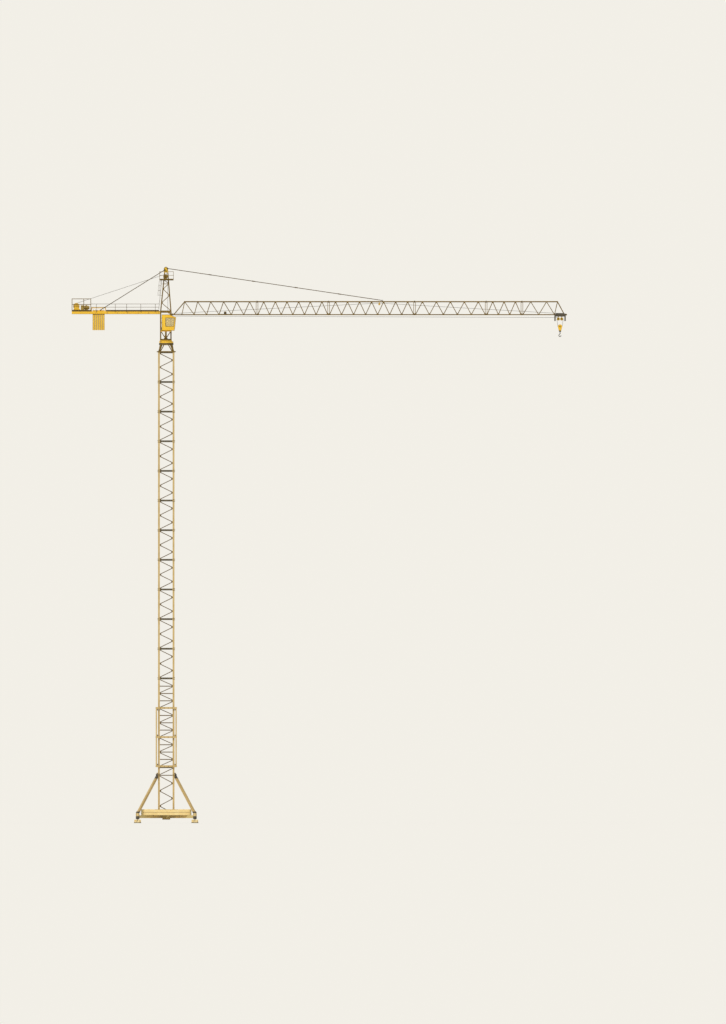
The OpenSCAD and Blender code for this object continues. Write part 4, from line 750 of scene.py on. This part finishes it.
faceTurns = {  # the turn that stands a bolt on a face that looks that way
    "+x": (0, math.pi / 2, 0), "-x": (0, -math.pi / 2, 0),
    "+y": (-math.pi / 2, 0, 0), "-y": (math.pi / 2, 0, 0),
    "+z": (0, 0, 0), "-z": (math.pi, 0, 0),
}
onSide = (math.pi / 2, 0, 0)  # the turn that lays a plate on a side of the crane


def facing(axis, way):
    return ("+" if way > 0 else "-") + axis


# bolts on the tower's four faces, each so far out and so far beside the middle
def fourFaces(out, aside, z):
    spots = []
    for way in (-1, 1):
        spots += [((way * out, aside, z), facing("x", way)), ((aside, way * out, z), facing("y", way))]
    return spots


# mast: sleeves with bolts where the sections meet, plates where the diagonals end
mastFittings = {
    "half": 0.575, "chord": 0.130, "sleeve": 0.150, "sleeveHeight": 0.190, "boltRise": 0.052, "bolt": 0.022,
    "plate": (0.105, 0.150, 0.012), "plateIn": 0.0441, "panels": 4, "basePanels": 12, "footPanels": 5,
    "bar": 0.064, "braceOut": 0.0385, "footLow": 0.668, "footHigh": 3.30,
}


def zigzag(low, high, count, firstSide=-1):
    return [(low + (high - low) * i / count, firstSide * (-1) ** i) for i in range(count + 1)]


def mastLevels():
    m = mastFittings
    levels = []
    for low, high in (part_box(name) for name in mastNames):
        levels += zigzag(low.z + m["bar"], high.z - m["bar"], m["panels"])
    low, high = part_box("base_section")
    levels += zigzag(low.z + m["bar"] / 2, high.z - m["bar"] / 2, m["basePanels"])[1:-1]
    return levels + zigzag(m["footLow"], m["footHigh"], m["footPanels"], 1)[1:-1]


def mastPieces():
    m = mastFittings
    middle = m["half"] - m["chord"] / 2
    joints = [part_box(name)[0].z for name in mastNames]
    sleeve = (m["sleeve"], m["sleeve"], m["sleeveHeight"])
    blockPiece("mastSleeves", [around((x, y, z), sleeve) for z in joints for x, y in corners(middle)],
               creamPaint, "tower", chamfer=0.007)
    spots = []
    for z in joints:
        for rise in (-m["boltRise"], m["boltRise"]):
            for aside in (-middle, middle):
                spots += fourFaces(middle + m["sleeve"] / 2, aside, z + rise)
    boltPiece("mastBolts", spots, m["bolt"], "tower")
    across = m["half"] - m["chord"] - m["plateIn"]
    deep = middle + m["braceOut"]
    plates = []
    for z, side in mastLevels():
        for way in (-1, 1):
            plates.append(((side * across, way * deep, z), onSide, m["plate"]))
            plates.append(((way * deep, side * across, z), (math.pi / 2, 0, math.pi / 2), m["plate"]))
    platePiece("mastPlates", plates, mastPaint, "tower")


mastPieces()
print("mast fittings")

# slewing ring: bolts under the lower ring and on its support, teeth round it
ringFittings = {
    "radius": 0.500, "boltCircle": 0.430, "bolts": 36, "bolt": 0.016, "teeth": 96, "toothIn": 0.006,
    "toothOut": 0.008, "toothHalf": 0.045, "root": 0.010, "tip": 0.005, "ringHeight": 0.150,
    "flange": 0.605, "flangeZ": 32.915, "flangeBolts": (-0.40, -0.24, 0.24, 0.40),
}


def ringPieces():
    r = ringFittings
    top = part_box("ring_support")[1].z
    under = top - r["ringHeight"]
    spots = [((c * r["boltCircle"], s * r["boltCircle"], under), "-z") for c, s in circle(r["bolts"])]
    for aside in r["flangeBolts"]:
        spots += fourFaces(r["flange"], aside, r["flangeZ"])
    boltPiece("ringBolts", spots, r["bolt"], "tower")
    inner, outer, middle = r["radius"] - r["toothIn"], r["radius"] + r["toothOut"], top - r["ringHeight"] / 2
    outline = ((inner, r["root"]), (inner, -r["root"]), (outer, -r["tip"]), (outer, r["tip"]))
    teeth = [[[(c * away - s * aside, s * away + c * aside, middle + half) for away, aside in outline]
              for half in (-r["toothHalf"], r["toothHalf"])] for c, s in circle(r["teeth"])]
    addPiece("ringTeeth", tubeMesh("ringTeeth", teeth), bareSteel, "tower")


ringPieces()

# jib: plates at the lattice nodes, bolted flanges at the joints
jibFittings = {
    "half": 0.340, "pinZ": 35.5005, "topZ": 36.4055, "inset": 0.062, "lowPlate": (0.328, 35.5575),
    "topPlate": (0.030, 36.3375), "flangeRise": 0.010,
    "panels": {"jib_section_2": 6, "jib_section_3": 7, "jib_section_4": 5, "jib_section_5": 3},
    "plate": (0.130, 0.080, 0.010), "flange": (0.018, 0.120, 0.110), "topFlange": (0.018, 0.150, 0.150),
    "flangeGap": 0.0095, "flangeFace": 0.0185, "boltRise": 0.049, "topBolts": 0.058, "bolt": 0.011,
}


def jibNodes():
    j = jibFittings
    low, high = [], []
    for name, count in j["panels"].items():
        x0, x1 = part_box(name)[0].x + j["inset"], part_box(name)[1].x - j["inset"]
        step = (x1 - x0) / count
        low += [x0 + step * i for i in range(count + 1)]
        high += [x0 + step * (i + 0.5) for i in range(count)]
    return low, high


def jibPieces():
    j = jibFittings
    low, high = jibNodes()
    slope = math.atan2(j["topZ"] - j["pinZ"], j["half"])
    nodes = [(x, *j["lowPlate"]) for x in low] + [(x, *j["topPlate"]) for x in high]
    platePiece("jibPlates", [((x, side * y, z), (-side * slope, 0, 0), j["plate"])
                             for x, y, z in nodes for side in (-1, 1)], latticePaint, "upper")
    blocks, spots = [], []
    for x in (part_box(name)[0].x for name in (*j["panels"], "jib_section_6")):
        for way in (-1, 1):
            middle, face = x + way * j["flangeGap"], x + way * j["flangeFace"]
            blocks += [around((middle, side * j["half"], j["pinZ"] + j["flangeRise"]), j["flange"])
                       for side in (-1, 1)]
            blocks.append(around((middle, 0, j["topZ"]), j["topFlange"]))
            places = [(face, side * j["half"], j["pinZ"] + j["boltRise"]) for side in (-1, 1)]
            for away in (-j["topBolts"], j["topBolts"]):
                places += [(face, away, j["topZ"]), (face, 0, j["topZ"] + away)]
            spots += [(place, facing("x", way)) for place in places]
    blockPiece("jibFlanges", blocks, tieSteel, "upper")
    boltPiece("jibBolts", spots, j["bolt"], "upper")


jibPieces()
print("jib fittings")

# gratings: bars over the counter-jib's deck and the service platform
gratingSizes = {"pitch": 0.055, "bar": 0.007, "height": 0.012, "shortest": 0.02, "chamfer": 0.001,
                "weightGap": 0.11, "winchHole": (-6.60, -5.28, -0.36, 0.36)}


# bars across a deck; each hole is its x range and its y range
def gratingBars(name, low, high, top, holes):
    g = gratingSizes
    half = g["bar"] / 2
    blocks = []
    count = int((high[0] - low[0]) / g["pitch"])
    for i in range(count + 1):
        x = low[0] + g["bar"] + i * (high[0] - low[0] - 2 * g["bar"]) / count
        clear = [(a, b) for x0, x1, a, b in holes if x0 < x < x1]
        spans = [(low[1], clear[0][0]), (clear[0][1], high[1])] if clear else [(low[1], high[1])]
        blocks += [((x - half, y0, top), (x + half, y1, top + g["height"]))
                   for y0, y1 in spans if y1 - y0 > g["shortest"]]
    blockPiece(name, blocks, gratingZinc, "upper", g["chamfer"])


deckLow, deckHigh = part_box("counter_jib_deck")
weightLow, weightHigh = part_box("counterweights")
weightHole = (weightLow.x - gratingSizes["weightGap"], weightHigh.x + gratingSizes["weightGap"],
              deckLow.y, deckHigh.y)
gratingBars("deckGrating", deckLow, deckHigh, deckHigh.z, [weightHole, gratingSizes["winchHole"]])

# drums: rope windings
drumRopes = {
    "hoist": {"node": "hoist_drum", "radius": 0.1905, "width": 0.400, "turns": 18.0, "rope": 0.0102},
    "trolley": {"node": "trolley_drum", "radius": 0.0762, "width": 0.290, "turns": 21.0, "rope": 0.0066},
}

for label, d in drumRopes.items():
    values = {"Turns": d["turns"], "Drum Radius": d["radius"], "Width": d["width"], "Rope Radius": d["rope"]}
    name = label + "Winding"
    growPiece(name, pointMesh(name, [middleOf(d["node"])]), windingTree, values, ropeWire, d["node"], True)

# ropes that change their length: tubes whose only points are at their ends
ropeRuns = {
    "radius": 0.010, "hookX": 27.5, "sheaveX": 0.117, "sheaveZ": 35.2005, "sheaveR": 0.1065,
    "blockZ": 34.670, "blockR": 0.1465, "root": (0.62, 0, 35.400), "tip": (27.900, 0, 35.444),
    "tipRadius": 0.008, "socket": (27.822, 0, 35.408), "socketDisc": (0.020, 0.024), "socketBack": 0.006,
}


def tangentRun(c1, r1, c2, r2, side):
    dx, dz = c1[0] - c2[0], c1[1] - c2[1]
    a = math.atan2(dz, dx) + side * math.acos((r2 - r1) / math.hypot(dx, dz))
    n = (math.cos(a), math.sin(a))
    return ((c1[0] + n[0] * r1, 0, c1[1] + n[1] * r1), (c2[0] + n[0] * r2, 0, c2[1] + n[1] * r2))


def ropePiece(name, start, end, radius):
    way = Vector(end) - Vector(start)
    part = (start, way, [(radius, 0), (radius, way.length)])
    return turnedPiece(name, [part], ropeWire, None, 8, True)


def fallingRopes():
    r = ropeRuns
    for label, side in (("rear", -1), ("front", 1)):
        start, end = tangentRun((r["hookX"] + side * r["sheaveX"], r["sheaveZ"]), r["sheaveR"],
                                (r["hookX"], r["blockZ"]), r["blockR"], -side)
        piece = ropePiece(label + "Fall", start, end, r["radius"])
        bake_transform(piece)
        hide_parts("rope_falls")
    top = r["sheaveZ"] + r["sheaveR"]
    start, end = r["root"], (r["hookX"] - r["sheaveX"], 0, top)
    piece = ropePiece("trolleyRun", start, end, r["radius"])
    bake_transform(piece)
    start, end = r["socket"], r["tip"]
    piece = ropePiece("tipRun", start, end, r["tipRadius"])
    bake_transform(piece)
    place = (start[0] - r["socketBack"], 0, start[2])
    socket = [(place, (1, 0, 0), discProfile(*r["socketDisc"]))]
    turnedPiece("ropeSocket", socket, darkSteel, "trolley", sides=16)


fallingRopes()
print("ropes")

# cab: dark trims along its edges, gaskets round its windows, door frame, handle and wiper
cabTrim = {
    "z": 34.3945, "sides": (-1.125, -0.425),
    "outline": [(-0.307, 0.0), (0.566, 0.0), (0.670, 0.915), (0.223, 1.106), (-0.307, 1.106)],
    "window": [(-0.049, 0.290), (0.508, 0.290), (0.588, 0.856), (0.478, 0.886), (-0.049, 0.886)],
    "screenLow": 0.12, "screenTop": 0.845, "screenIn": 0.06, "edge": 0.012, "gasket": 0.013,
    "frame": 0.006, "frameOut": 0.004,
    "hinge": (0.016, 0.034, 0.080), "hingeRise": (0.14, 0.82), "handle": 0.008, "gripIn": 0.05,
    "grip": ((0.0, 0.42), (-0.035, 0.44), (-0.035, 0.58), (0.0, 0.60)),  # out of the door, above its foot
    "wiper": ((0.008, 0.0, 0.10), (0.014, 0.02, 0.20), (0.012, 0.16, 0.52)),  # off the screen, aside, up
    "blade": ((0.008, 0.18, 0.36), (0.008, 0.14, 0.68)),
    "boltX": (-0.287, 0.330), "boltY": (-1.02, -0.72, -0.50), "bolt": 0.014,
}


def cabPieces():
    c = cabTrim
    near, far = c["sides"]
    foot, brow = c["outline"][1:3]

    def onScreen(out, y, rise):
        return foot[0] + (brow[0] - foot[0]) / brow[1] * rise + out, y, c["z"] + rise

    runs = [closed([(x, y, c["z"] + z) for x, z in c["outline"]]) for y in c["sides"]]
    runs += [[(x, y, c["z"] + z) for y in c["sides"]] for x, z in c["outline"]]
    gaskets = [closed([(x, y, c["z"] + z) for x, z in c["window"]]) for y in c["sides"]]
    left, right, low, top = near + c["screenIn"], far - c["screenIn"], c["screenLow"], c["screenTop"]
    screen = ((left, low), (right, low), (right, top), (left, top))
    gaskets.append(closed([onScreen(0, y, rise) for y, rise in screen]))
    barPiece("cabEdges", runs, c["edge"], tieSteel, "upper")
    barPiece("windowGaskets", gaskets, c["gasket"], darkSteel, "upper")
    low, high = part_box("cab_door")
    face = low.x - c["frameOut"]
    doorEdge = [(face, low.y, low.z), (face, high.y, low.z), (face, high.y, high.z), (face, low.y, high.z)]
    barPiece("doorFrame", [closed(doorEdge)], c["frame"], tieSteel, "upper")
    x = low.x - c["hinge"][0] / 2
    hinges = [around((x, high.y, low.z + rise), c["hinge"]) for rise in c["hingeRise"]]
    blockPiece("doorHinges", hinges, darkSteel, "upper")
    grip = [(low.x + out, low.y + c["gripIn"], low.z + rise) for out, rise in c["grip"]]
    barPiece("doorHandle", [grip], c["handle"], darkSteel, "upper")
    wiper = [[onScreen(out, (near + far) / 2 + aside, rise) for out, aside, rise in c[run]]
             for run in ("wiper", "blade")]
    barPiece("screenWiper", wiper, c["frame"], darkSteel, "upper")
    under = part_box("cab_bracket")[0].z
    boltPiece("cabBolts", [((x, y, under), "-z") for x in c["boltX"] for y in c["boltY"]], c["bolt"], "upper")


cabPieces()
print("cab trims")

# base: pins through beams, struts and shoes, knuckles on the corner heads, ribs on the shoes, slab anchors
baseFittings = {
    "foot": 2.0, "knuckle": (0.112, 0.215, 0.010), "knuckleZ": 0.592, "rim": 0.010, "rimIn": 0.006,
    "shoePin": (0.026, 0.30), "shoePinZ": 0.150, "beamPin": (0.022, 0.172), "beamPins": (0.10, 1.363),
    "beamPinZ": 0.495, "strutPin": (0.022, 0.204), "strutPins": (0.035, 0.965), "strutFoot": (2.02, 0.630),
    "strutHead": (0.535, 3.455), "rib": (0.470, 0.014, 0.195), "ribAside": 0.125, "ribZ": 0.1375,
    "slabTop": 0.957, "anchors": ((1.20, 1.22), (0.55, 1.22), (1.22, 0.55)), "anchor": (0.040, 0.010, 0.003),
}


def basePieces():
    b = baseFittings
    feet = corners(b["foot"])
    knuckles = alongY([(x, y, b["knuckleZ"]) for x, y in feet], discProfile(*b["knuckle"]))
    turnedPiece("cornerKnuckles", knuckles, creamPaint, "tower", sides=40)
    radius, out = b["knuckle"][0], b["knuckle"][1] / 2 - b["rimIn"]
    rims = [hoop(x, y + aside, b["knuckleZ"], radius, 32) for x, y in feet for aside in (-out, out)]
    barPiece("knuckleRims", rims, b["rim"], darkSteel, "tower", sides=6)
    pins = alongY([(x, y, b["shoePinZ"]) for x, y in feet], pinProfile(*b["shoePin"]))
    for sx, sy in corners(1):
        across = (-sy, sx, 0)
        beam = Vector((sx, sy, 0)).normalized()
        pins += [(beam * away + Vector((0, 0, b["beamPinZ"])), across, pinProfile(*b["beamPin"]))
                 for away in b["beamPins"]]
        low, high = (Vector((sx * away, sy * away, z)) for away, z in (b["strutFoot"], b["strutHead"]))
        pins += [(high.lerp(low, share), across, pinProfile(*b["strutPin"])) for share in b["strutPins"]]
    turnedPiece("basePins", pins, darkSteel, "tower", sides=20)
    long, thick, tall = b["rib"]
    ribs = []
    for x, y in feet:
        for aside in (-b["ribAside"], b["ribAside"]):
            ribs += [around((x, y + aside, b["ribZ"]), (long, thick, tall)),
                     around((x + aside, y, b["ribZ"]), (thick, long, tall))]
    blockPiece("shoeRibs", ribs, shoePaint, "tower")
    anchors = [((x * sx, y * sy, b["slabTop"]), (0, 0, 1), discProfile(*b["anchor"]))
               for x, y in b["anchors"] for sx, sy in corners(1)]
    turnedPiece("slabAnchors", anchors, darkSteel, "tower", sides=24)


basePieces()
print("base fittings")

# climbing frame: bolts round its collars, shoes at its guides
climbFittings = {
    "half": 0.735, "collars": (3.965, 6.00, 8.035), "spread": (-0.42, -0.14, 0.14, 0.42), "bolt": 0.018,
    "guide": (0.070, 0.070, 0.120), "guideOut": 0.625, "guideRise": (0.115, 0.115, -0.115),
}


def climbPieces():
    c = climbFittings
    spots, guides = [], []
    for z, rise in zip(c["collars"], c["guideRise"]):
        for aside in c["spread"]:
            spots += fourFaces(c["half"], aside, z)
        guides += [around((x, y, z + rise), c["guide"]) for x, y in corners(c["guideOut"])]
    boltPiece("collarBolts", spots, c["bolt"], "tower")
    blockPiece("guideShoes", guides, darkSteel, "tower", chamfer=0.008)


climbPieces()

# slewing platform and tower: dark edges round the deck, plates where the V braces meet, jib root pins
slewFittings = {
    "deckLow": (-0.461, -0.419), "deckHigh": (0.399, 0.419), "levels": (33.6405, 33.7025), "edge": 0.018,
    "cornerIn": 0.004,
    "plates": ((-0.031, 33.800, (0.30, 0.17, 0.010)), (-0.362, 34.40, (0.12, 0.17, 0.010)),
               (0.300, 34.40, (0.12, 0.17, 0.010))),
    "side": 0.382, "rootX": 0.446, "rootY": 0.340, "rootZ": 35.5005, "rootPin": (0.02548, 0.150),
}


def slewPieces():
    f = slewFittings
    edge = f["edge"]
    blocks = [block for z in f["levels"]
              for block in rimBlocks(f["deckLow"], f["deckHigh"], z, edge, edge, f["cornerIn"])]
    blockPiece("deckEdges", blocks, railPaint, "upper", chamfer=0.002)
    plates = [((x, way * f["side"], z), onSide, size) for way in (-1, 1) for x, z, size in f["plates"]]
    platePiece("bracePlates", plates, railPaint, "upper")
    roots = [(f["rootX"], way * f["rootY"], f["rootZ"]) for way in (-1, 1)]
    pinPiece("jibRootPins", roots, f["rootPin"], "upper")


slewPieces()
print("climbing frame and slewing platform")

# tower head: plates at the nodes of its bracing, rings and pins at the apex
headFittings = {
    "foot": 35.7205, "height": 2.76, "levels": (0.018, 0.221, 0.409, 0.569, 0.699, 0.808),
    "rear": (0.392, 0.105), "front": (0.330, 0.105), "side": (0.350, 0.120),  # half widths, foot and top
    "plate": (0.105, 0.125, 0.010), "plateIn": 0.035, "out": 0.028, "ring": (-0.020, 38.6905, 0.134),
    "ringY": (-0.117, 0.117), "ringBar": 0.015, "pins": ((0.062, 38.7305), (-0.095, 38.6305)),
    "pin": (0.022, 0.285),
}


def headPieces():
    h = headFittings

    def half(part, share):
        foot, top = h[part]
        return foot + (top - foot) * share

    lean = math.atan2(h["side"][0] - h["side"][1], h["height"])
    plates = []
    for i, share in enumerate(h["levels"]):
        x = h["plateIn"] - half("rear", share) if i % 2 else half("front", share) - h["plateIn"]
        y, z = half("side", share) + h["out"], h["foot"] + share * h["height"]
        plates += [((x, way * y, z), (math.pi / 2 + way * lean, 0, 0), h["plate"]) for way in (-1, 1)]
    platePiece("headPlates", plates, latticePaint, "upper")
    x, z, radius = h["ring"]
    barPiece("apexRings", [hoop(x, y, z, radius, 40) for y in h["ringY"]], h["ringBar"], railPaint, "upper")
    pinPiece("apexPins", [(x, 0, z) for x, z in h["pins"]], h["pin"], "upper")


headPieces()

# service platform: toe boards and grating
platformSizes = {
    "floor": 0.086, "toe": 0.030, "toeThick": 0.006, "inset": 0.01,
    "mastHole": (-0.205, 0.205, -0.21, 0.21), "ladderHole": (-0.15, -0.155, 0.155),
}


def platformPieces():
    f = platformSizes
    low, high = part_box("service_platform")
    floor = low.z + f["floor"]
    toes = rimBlocks(low, high, floor, f["toeThick"], f["toe"])
    blockPiece("toeBoards", toes, latticePaint, "upper", chamfer=0.001)
    gratingBars("platformGrating", (low.x + f["inset"], low.y + f["inset"]),
                (high.x - f["inset"], high.y - f["inset"]), floor, [f["mastHole"], (low.x, *f["ladderHole"])])


platformPieces()
print("head and service platform")

# counter-jib: flanges on the girders, kick boards, braces under the deck, pins at the ties
counterFittings = {
    "girderY": 0.370, "flange": 0.104, "flangeZ": (35.5385, 35.5515), "tail": -6.600, "front": -0.4372,
    "kick": 0.070, "kickThick": 0.006, "kickGap": 0.09, "kickFront": -0.50, "bolt": 0.013, "boltBack": 0.10,
    "boltY": 0.410, "boltZ": (35.6505, 35.6005), "bays": (-0.437, -1.15, -1.86, -2.58, -3.29, -4.00),
    "tailBays": (-5.30, -5.737, -6.54), "braceY": 0.33, "braceZ": 35.640, "brace": 0.040,
    "tieFoot": (-4.600, 35.795), "tiePin": (0.020, 0.062),
}


def counterPieces():
    c = counterFittings
    blocks, spots = [], []
    bottom, top = c["flangeZ"]
    for way in (-1, 1):
        y, half = way * c["girderY"], c["flange"] / 2
        blocks.append(((c["tail"], y - half, bottom), (c["front"], y + half, top)))
        y, half = way * (deckHigh.y - c["kickThick"] / 2), c["kickThick"] / 2
        rear, middle = weightLow.x - c["kickGap"], weightHigh.x + c["kickGap"]
        for x0, x1 in ((c["tail"], rear), (middle, c["kickFront"])):
            blocks.append(((x0, y - half, deckHigh.z), (x1, y + half, deckHigh.z + c["kick"])))
        spots += [((x - c["boltBack"], way * c["boltY"], z), facing("y", way))
                  for x in c["bays"] for z in c["boltZ"]]
    blockPiece("girderFlanges", blocks, railPaint, "upper", chamfer=0.002)
    boltPiece("girderBolts", spots, c["bolt"], "upper")
    runs = []
    for bays in (c["bays"], c["tailBays"]):
        for i, (start, end) in enumerate(zip(bays, bays[1:])):
            y = c["braceY"] * (-1) ** i
            runs.append(((start, -y, c["braceZ"]), (end, y, c["braceZ"])))
    anglePiece("deckBraces", runs, c["brace"], panelPaint, "upper")
    x, z = c["tieFoot"]
    pinPiece("tieFootPins", [(x, way * c["girderY"], z) for way in (-1, 1)], c["tiePin"], "upper", sides=20)


counterPieces()

# counterweights: two loops on top of each slab
weightLoops = {
    "count": 6, "first": 0.068, "sides": (-0.20, 0.20), "top": 35.8155, "thick": 0.007,
    "shape": ((-0.030, -0.010), (-0.030, 0.035), (-0.018, 0.050), (0.018, 0.050), (0.030, 0.035),
              (0.030, -0.010)),
}


def weightPieces():
    w = weightLoops
    places = [weightLow.x + w["first"] + i * slabShadeLines["weightStep"] for i in range(w["count"])]
    loops = [[(x, y + aside, w["top"] + rise) for aside, rise in w["shape"]]
             for x in places for y in w["sides"]]
    barPiece("weightLoops", loops, w["thick"], boltSteel, "upper")


weightPieces()
print("counter-jib")

# winch: fins round the motor, a terminal box, bolts on the gear case, its frame and the drum
winchFittings = {
    "y": -0.120, "deck": 35.7605, "motorZ": 35.9955, "motorFrom": -5.72, "motorTo": -5.44, "fins": 15,
    "fin": (0.137, 0.005, 0.001), "box": (0.110, 0.090, 0.060), "boxX": -5.58, "boxRise": 0.150,
    "feet": ((-5.937, -5.667), (-0.240, 0.0), 0.060), "frame": ((-6.467, -6.007), (-0.262, 0.262), 0.050),
    "caseX": (-5.947, -5.767), "caseRise": (0.10, 0.22, 0.36), "caseY": (-0.250, 0.010), "bolt": 0.012,
    "drumBolt": 0.011, "drumBolts": 8, "drumCircle": 0.10, "drumFace": 0.240,
}


def winchPieces():
    w = winchFittings
    step = (w["motorTo"] - w["motorFrom"]) / (w["fins"] - 1)
    fins = [((w["motorFrom"] + step * i, w["y"], w["motorZ"]), (1, 0, 0), discProfile(*w["fin"]))
            for i in range(w["fins"])]
    turnedPiece("motorFins", fins, machinePaint, "upper", sides=32)
    box = around((w["boxX"], w["y"], w["motorZ"] + w["boxRise"]), w["box"])
    blockPiece("terminalBox", [box], machinePaint, "upper", chamfer=0.008)
    spots = [((x, y, w["deck"] + rise), "+z")
             for xs, ys, rise in (w["feet"], w["frame"]) for x in xs for y in ys]
    spots += [((x, y, w["deck"] + rise), facing("y", way))
              for x in w["caseX"] for rise in w["caseRise"] for y, way in zip(w["caseY"], (-1, 1))]
    boltPiece("winchBolts", spots, w["bolt"], "upper")
    x, y, z = middleOf("hoist_drum")
    r = w["drumCircle"]
    spots = [((x + c * r, way * w["drumFace"], z + s * r), facing("y", way))
             for c, s in circle(w["drumBolts"]) for way in (-1, 1)]
    boltPiece("drumBolts", spots, w["drumBolt"], "hoist_drum")


winchPieces()
print("winch")

# trolley: wheel axle caps, bolts on the cheeks, sheave pins; end stops on the jib's rails
trolleyFittings = {
    "x": 27.5, "cheek": 0.446, "wheelX": 0.230, "wheelZ": 35.5458, "cap": (0.030, 0.012), "sheaveX": 0.117,
    "sheaveZ": 35.2005, "pin": (0.020, 0.150), "bolt": 0.011, "boltX": (-0.27, -0.14, 0.0, 0.14, 0.27),
    "boltZ": (35.40, 35.585), "legX": (-0.352, 0.352), "legZ": (35.10, 35.46), "stopX": (1.060, 27.945),
    "stop": (0.034, 0.036, 0.075), "stopY": 0.396, "stopZ": 35.523,
}


def trolleyPieces():
    t = trolleyFittings
    caps, spots = [], []
    places = [(x, z) for x in t["boltX"] for z in t["boltZ"]] + [(x, z) for x in t["legX"] for z in t["legZ"]]
    for way in (-1, 1):
        face = way * t["cheek"]
        caps += [(t["x"] + side * t["wheelX"], face, t["wheelZ"]) for side in (-1, 1)]
        spots += [((t["x"] + x, face, z), facing("y", way)) for x, z in places]
    turnedPiece("axleCaps", alongY(caps, discProfile(*t["cap"])), darkSteel, "trolley", sides=20)
    boltPiece("trolleyBolts", spots, t["bolt"], "trolley")
    sheaves = [(t["x"] + side * t["sheaveX"], 0, t["sheaveZ"]) for side in (-1, 1)]
    pinPiece("sheavePins", sheaves, t["pin"], "trolley", sides=20)
    stops = [around((x, way * t["stopY"], t["stopZ"]), t["stop"]) for x in t["stopX"] for way in (-1, 1)]
    blockPiece("railStops", stops, darkSteel, "upper", chamfer=0.004)


trolleyPieces()

# hook block: pin, bolts along the cheeks, spacers between them, and the hook's spring latch
blockFittings = {
    "x": 27.5, "z": 34.670, "half": 0.050, "pin": (0.026, 0.140), "bolt": 0.009,
    "bolts": ((0.11, 0.06), (0.085, -0.20), (0.045, -0.345)), "spacers": ((-0.125, -0.105), (0.125, -0.105)),
    "spacer": (0.010, 0.070, 0.001), "latch": ((27.472, 34.130), (27.505, 34.118), (27.566, 34.100)),
    "latchHalf": 0.018, "latchThick": 0.004,
}


def blockPieces():
    b = blockFittings
    pinPiece("blockPin", [(b["x"], 0, b["z"])], b["pin"], "hook_block")
    spots = [((b["x"] + side * x, way * b["half"], b["z"] + z), facing("y", way))
             for x, z in b["bolts"] for side in (-1, 1) for way in (-1, 1)]
    boltPiece("blockBolts", spots, b["bolt"], "hook_block")
    spacers = alongY([(b["x"] + x, 0, b["z"] + z) for x, z in b["spacers"]], discProfile(*b["spacer"]))
    turnedPiece("blockSpacers", spacers, darkSteel, "hook_block", sides=16)
    half, thick = b["latchHalf"], b["latchThick"]
    latch = [[(x, -half, z), (x, -half, z + thick), (x, half, z + thick), (x, half, z)]
             for x, z in b["latch"]]
    addPiece("hookLatch", tubeMesh("hookLatch", [latch]), bareSteel, "hook")


blockPieces()
print("trolley and hook block")

# light: one soft sun, a pale world that lights evenly
lightSizes = {"sun": 1.8, "sunTurn": (50, 0, -32), "sunSoft": 0.35, "fill": 0.52, "backdrop": 1.0}

sunData = bpy.data.lights.new("sun", "SUN")
sunData.energy = lightSizes["sun"]
sunData.angle = lightSizes["sunSoft"]
sunObject = addObject("sun", sunData)
sunObject.rotation_euler = [math.radians(a) for a in lightSizes["sunTurn"]]

backdropColour = (0.89, 0.865, 0.80)
floorColour = (0.97, 0.945, 0.88)


def isSeen(tree):
    rays = tree.nodes.new("ShaderNodeLightPath")
    seen = maths(tree, "MAXIMUM", rays.outputs["Is Camera Ray"], rays.outputs["Is Glossy Ray"])
    return maths(tree, "MAXIMUM", seen, rays.outputs["Is Transmission Ray"])


def glow(tree, colour, strength):
    node = tree.nodes.new("ShaderNodeBackground")
    node.inputs["Color"].default_value = (*colour, 1.0)
    node.inputs["Strength"].default_value = strength
    return node.outputs[0]


world = bpy.data.worlds.new("studio")
bpy.context.scene.world = world
world.use_nodes = True
tree = world.node_tree
tree.nodes.clear()
worldOut = tree.nodes.new("ShaderNodeOutputWorld")
either = tree.nodes.new("ShaderNodeMixShader")
fillLight = glow(tree, (1.0, 1.0, 1.0), lightSizes["fill"])
backdrop = glow(tree, backdropColour, lightSizes["backdrop"])
for target, value in zip(either.inputs, (isSeen(tree), fillLight, backdrop)):
    tree.links.new(value, target)
tree.links.new(either.outputs[0], worldOut.inputs["Surface"])

# stage: a wide pale floor
stageSizes = {"floor": 160.0, "thick": 0.001, "aside": 12.0, "speckle": 0.985}


def floorFinish():
    material, tree, shader, place = startFinish("floorPale")
    speckle = span(tree, cloud(tree, place, 0.35, 4.0), 0.4, 0.6)
    soft = tuple(part * stageSizes["speckle"] for part in floorColour)
    tree.links.new(colourMix(tree, speckle, floorColour, soft), shader.inputs["Base Color"])
    shader.inputs["Roughness"].default_value = 0.9
    return material


floorMesh = bpy.data.meshes.new("floor")
work = bmesh.new()
bmesh.ops.create_cube(work, size=1.0)
for vertex in work.verts:
    x, y, z = vertex.co
    vertex.co = (x * stageSizes["floor"] + stageSizes["aside"], y * stageSizes["floor"],
                 0.0 if z > 0 else -stageSizes["thick"])
work.to_mesh(floorMesh)
work.free()
floorMesh.materials.append(floorFinish())
floorSlab = addObject("floor", floorMesh)
print("stage and light")
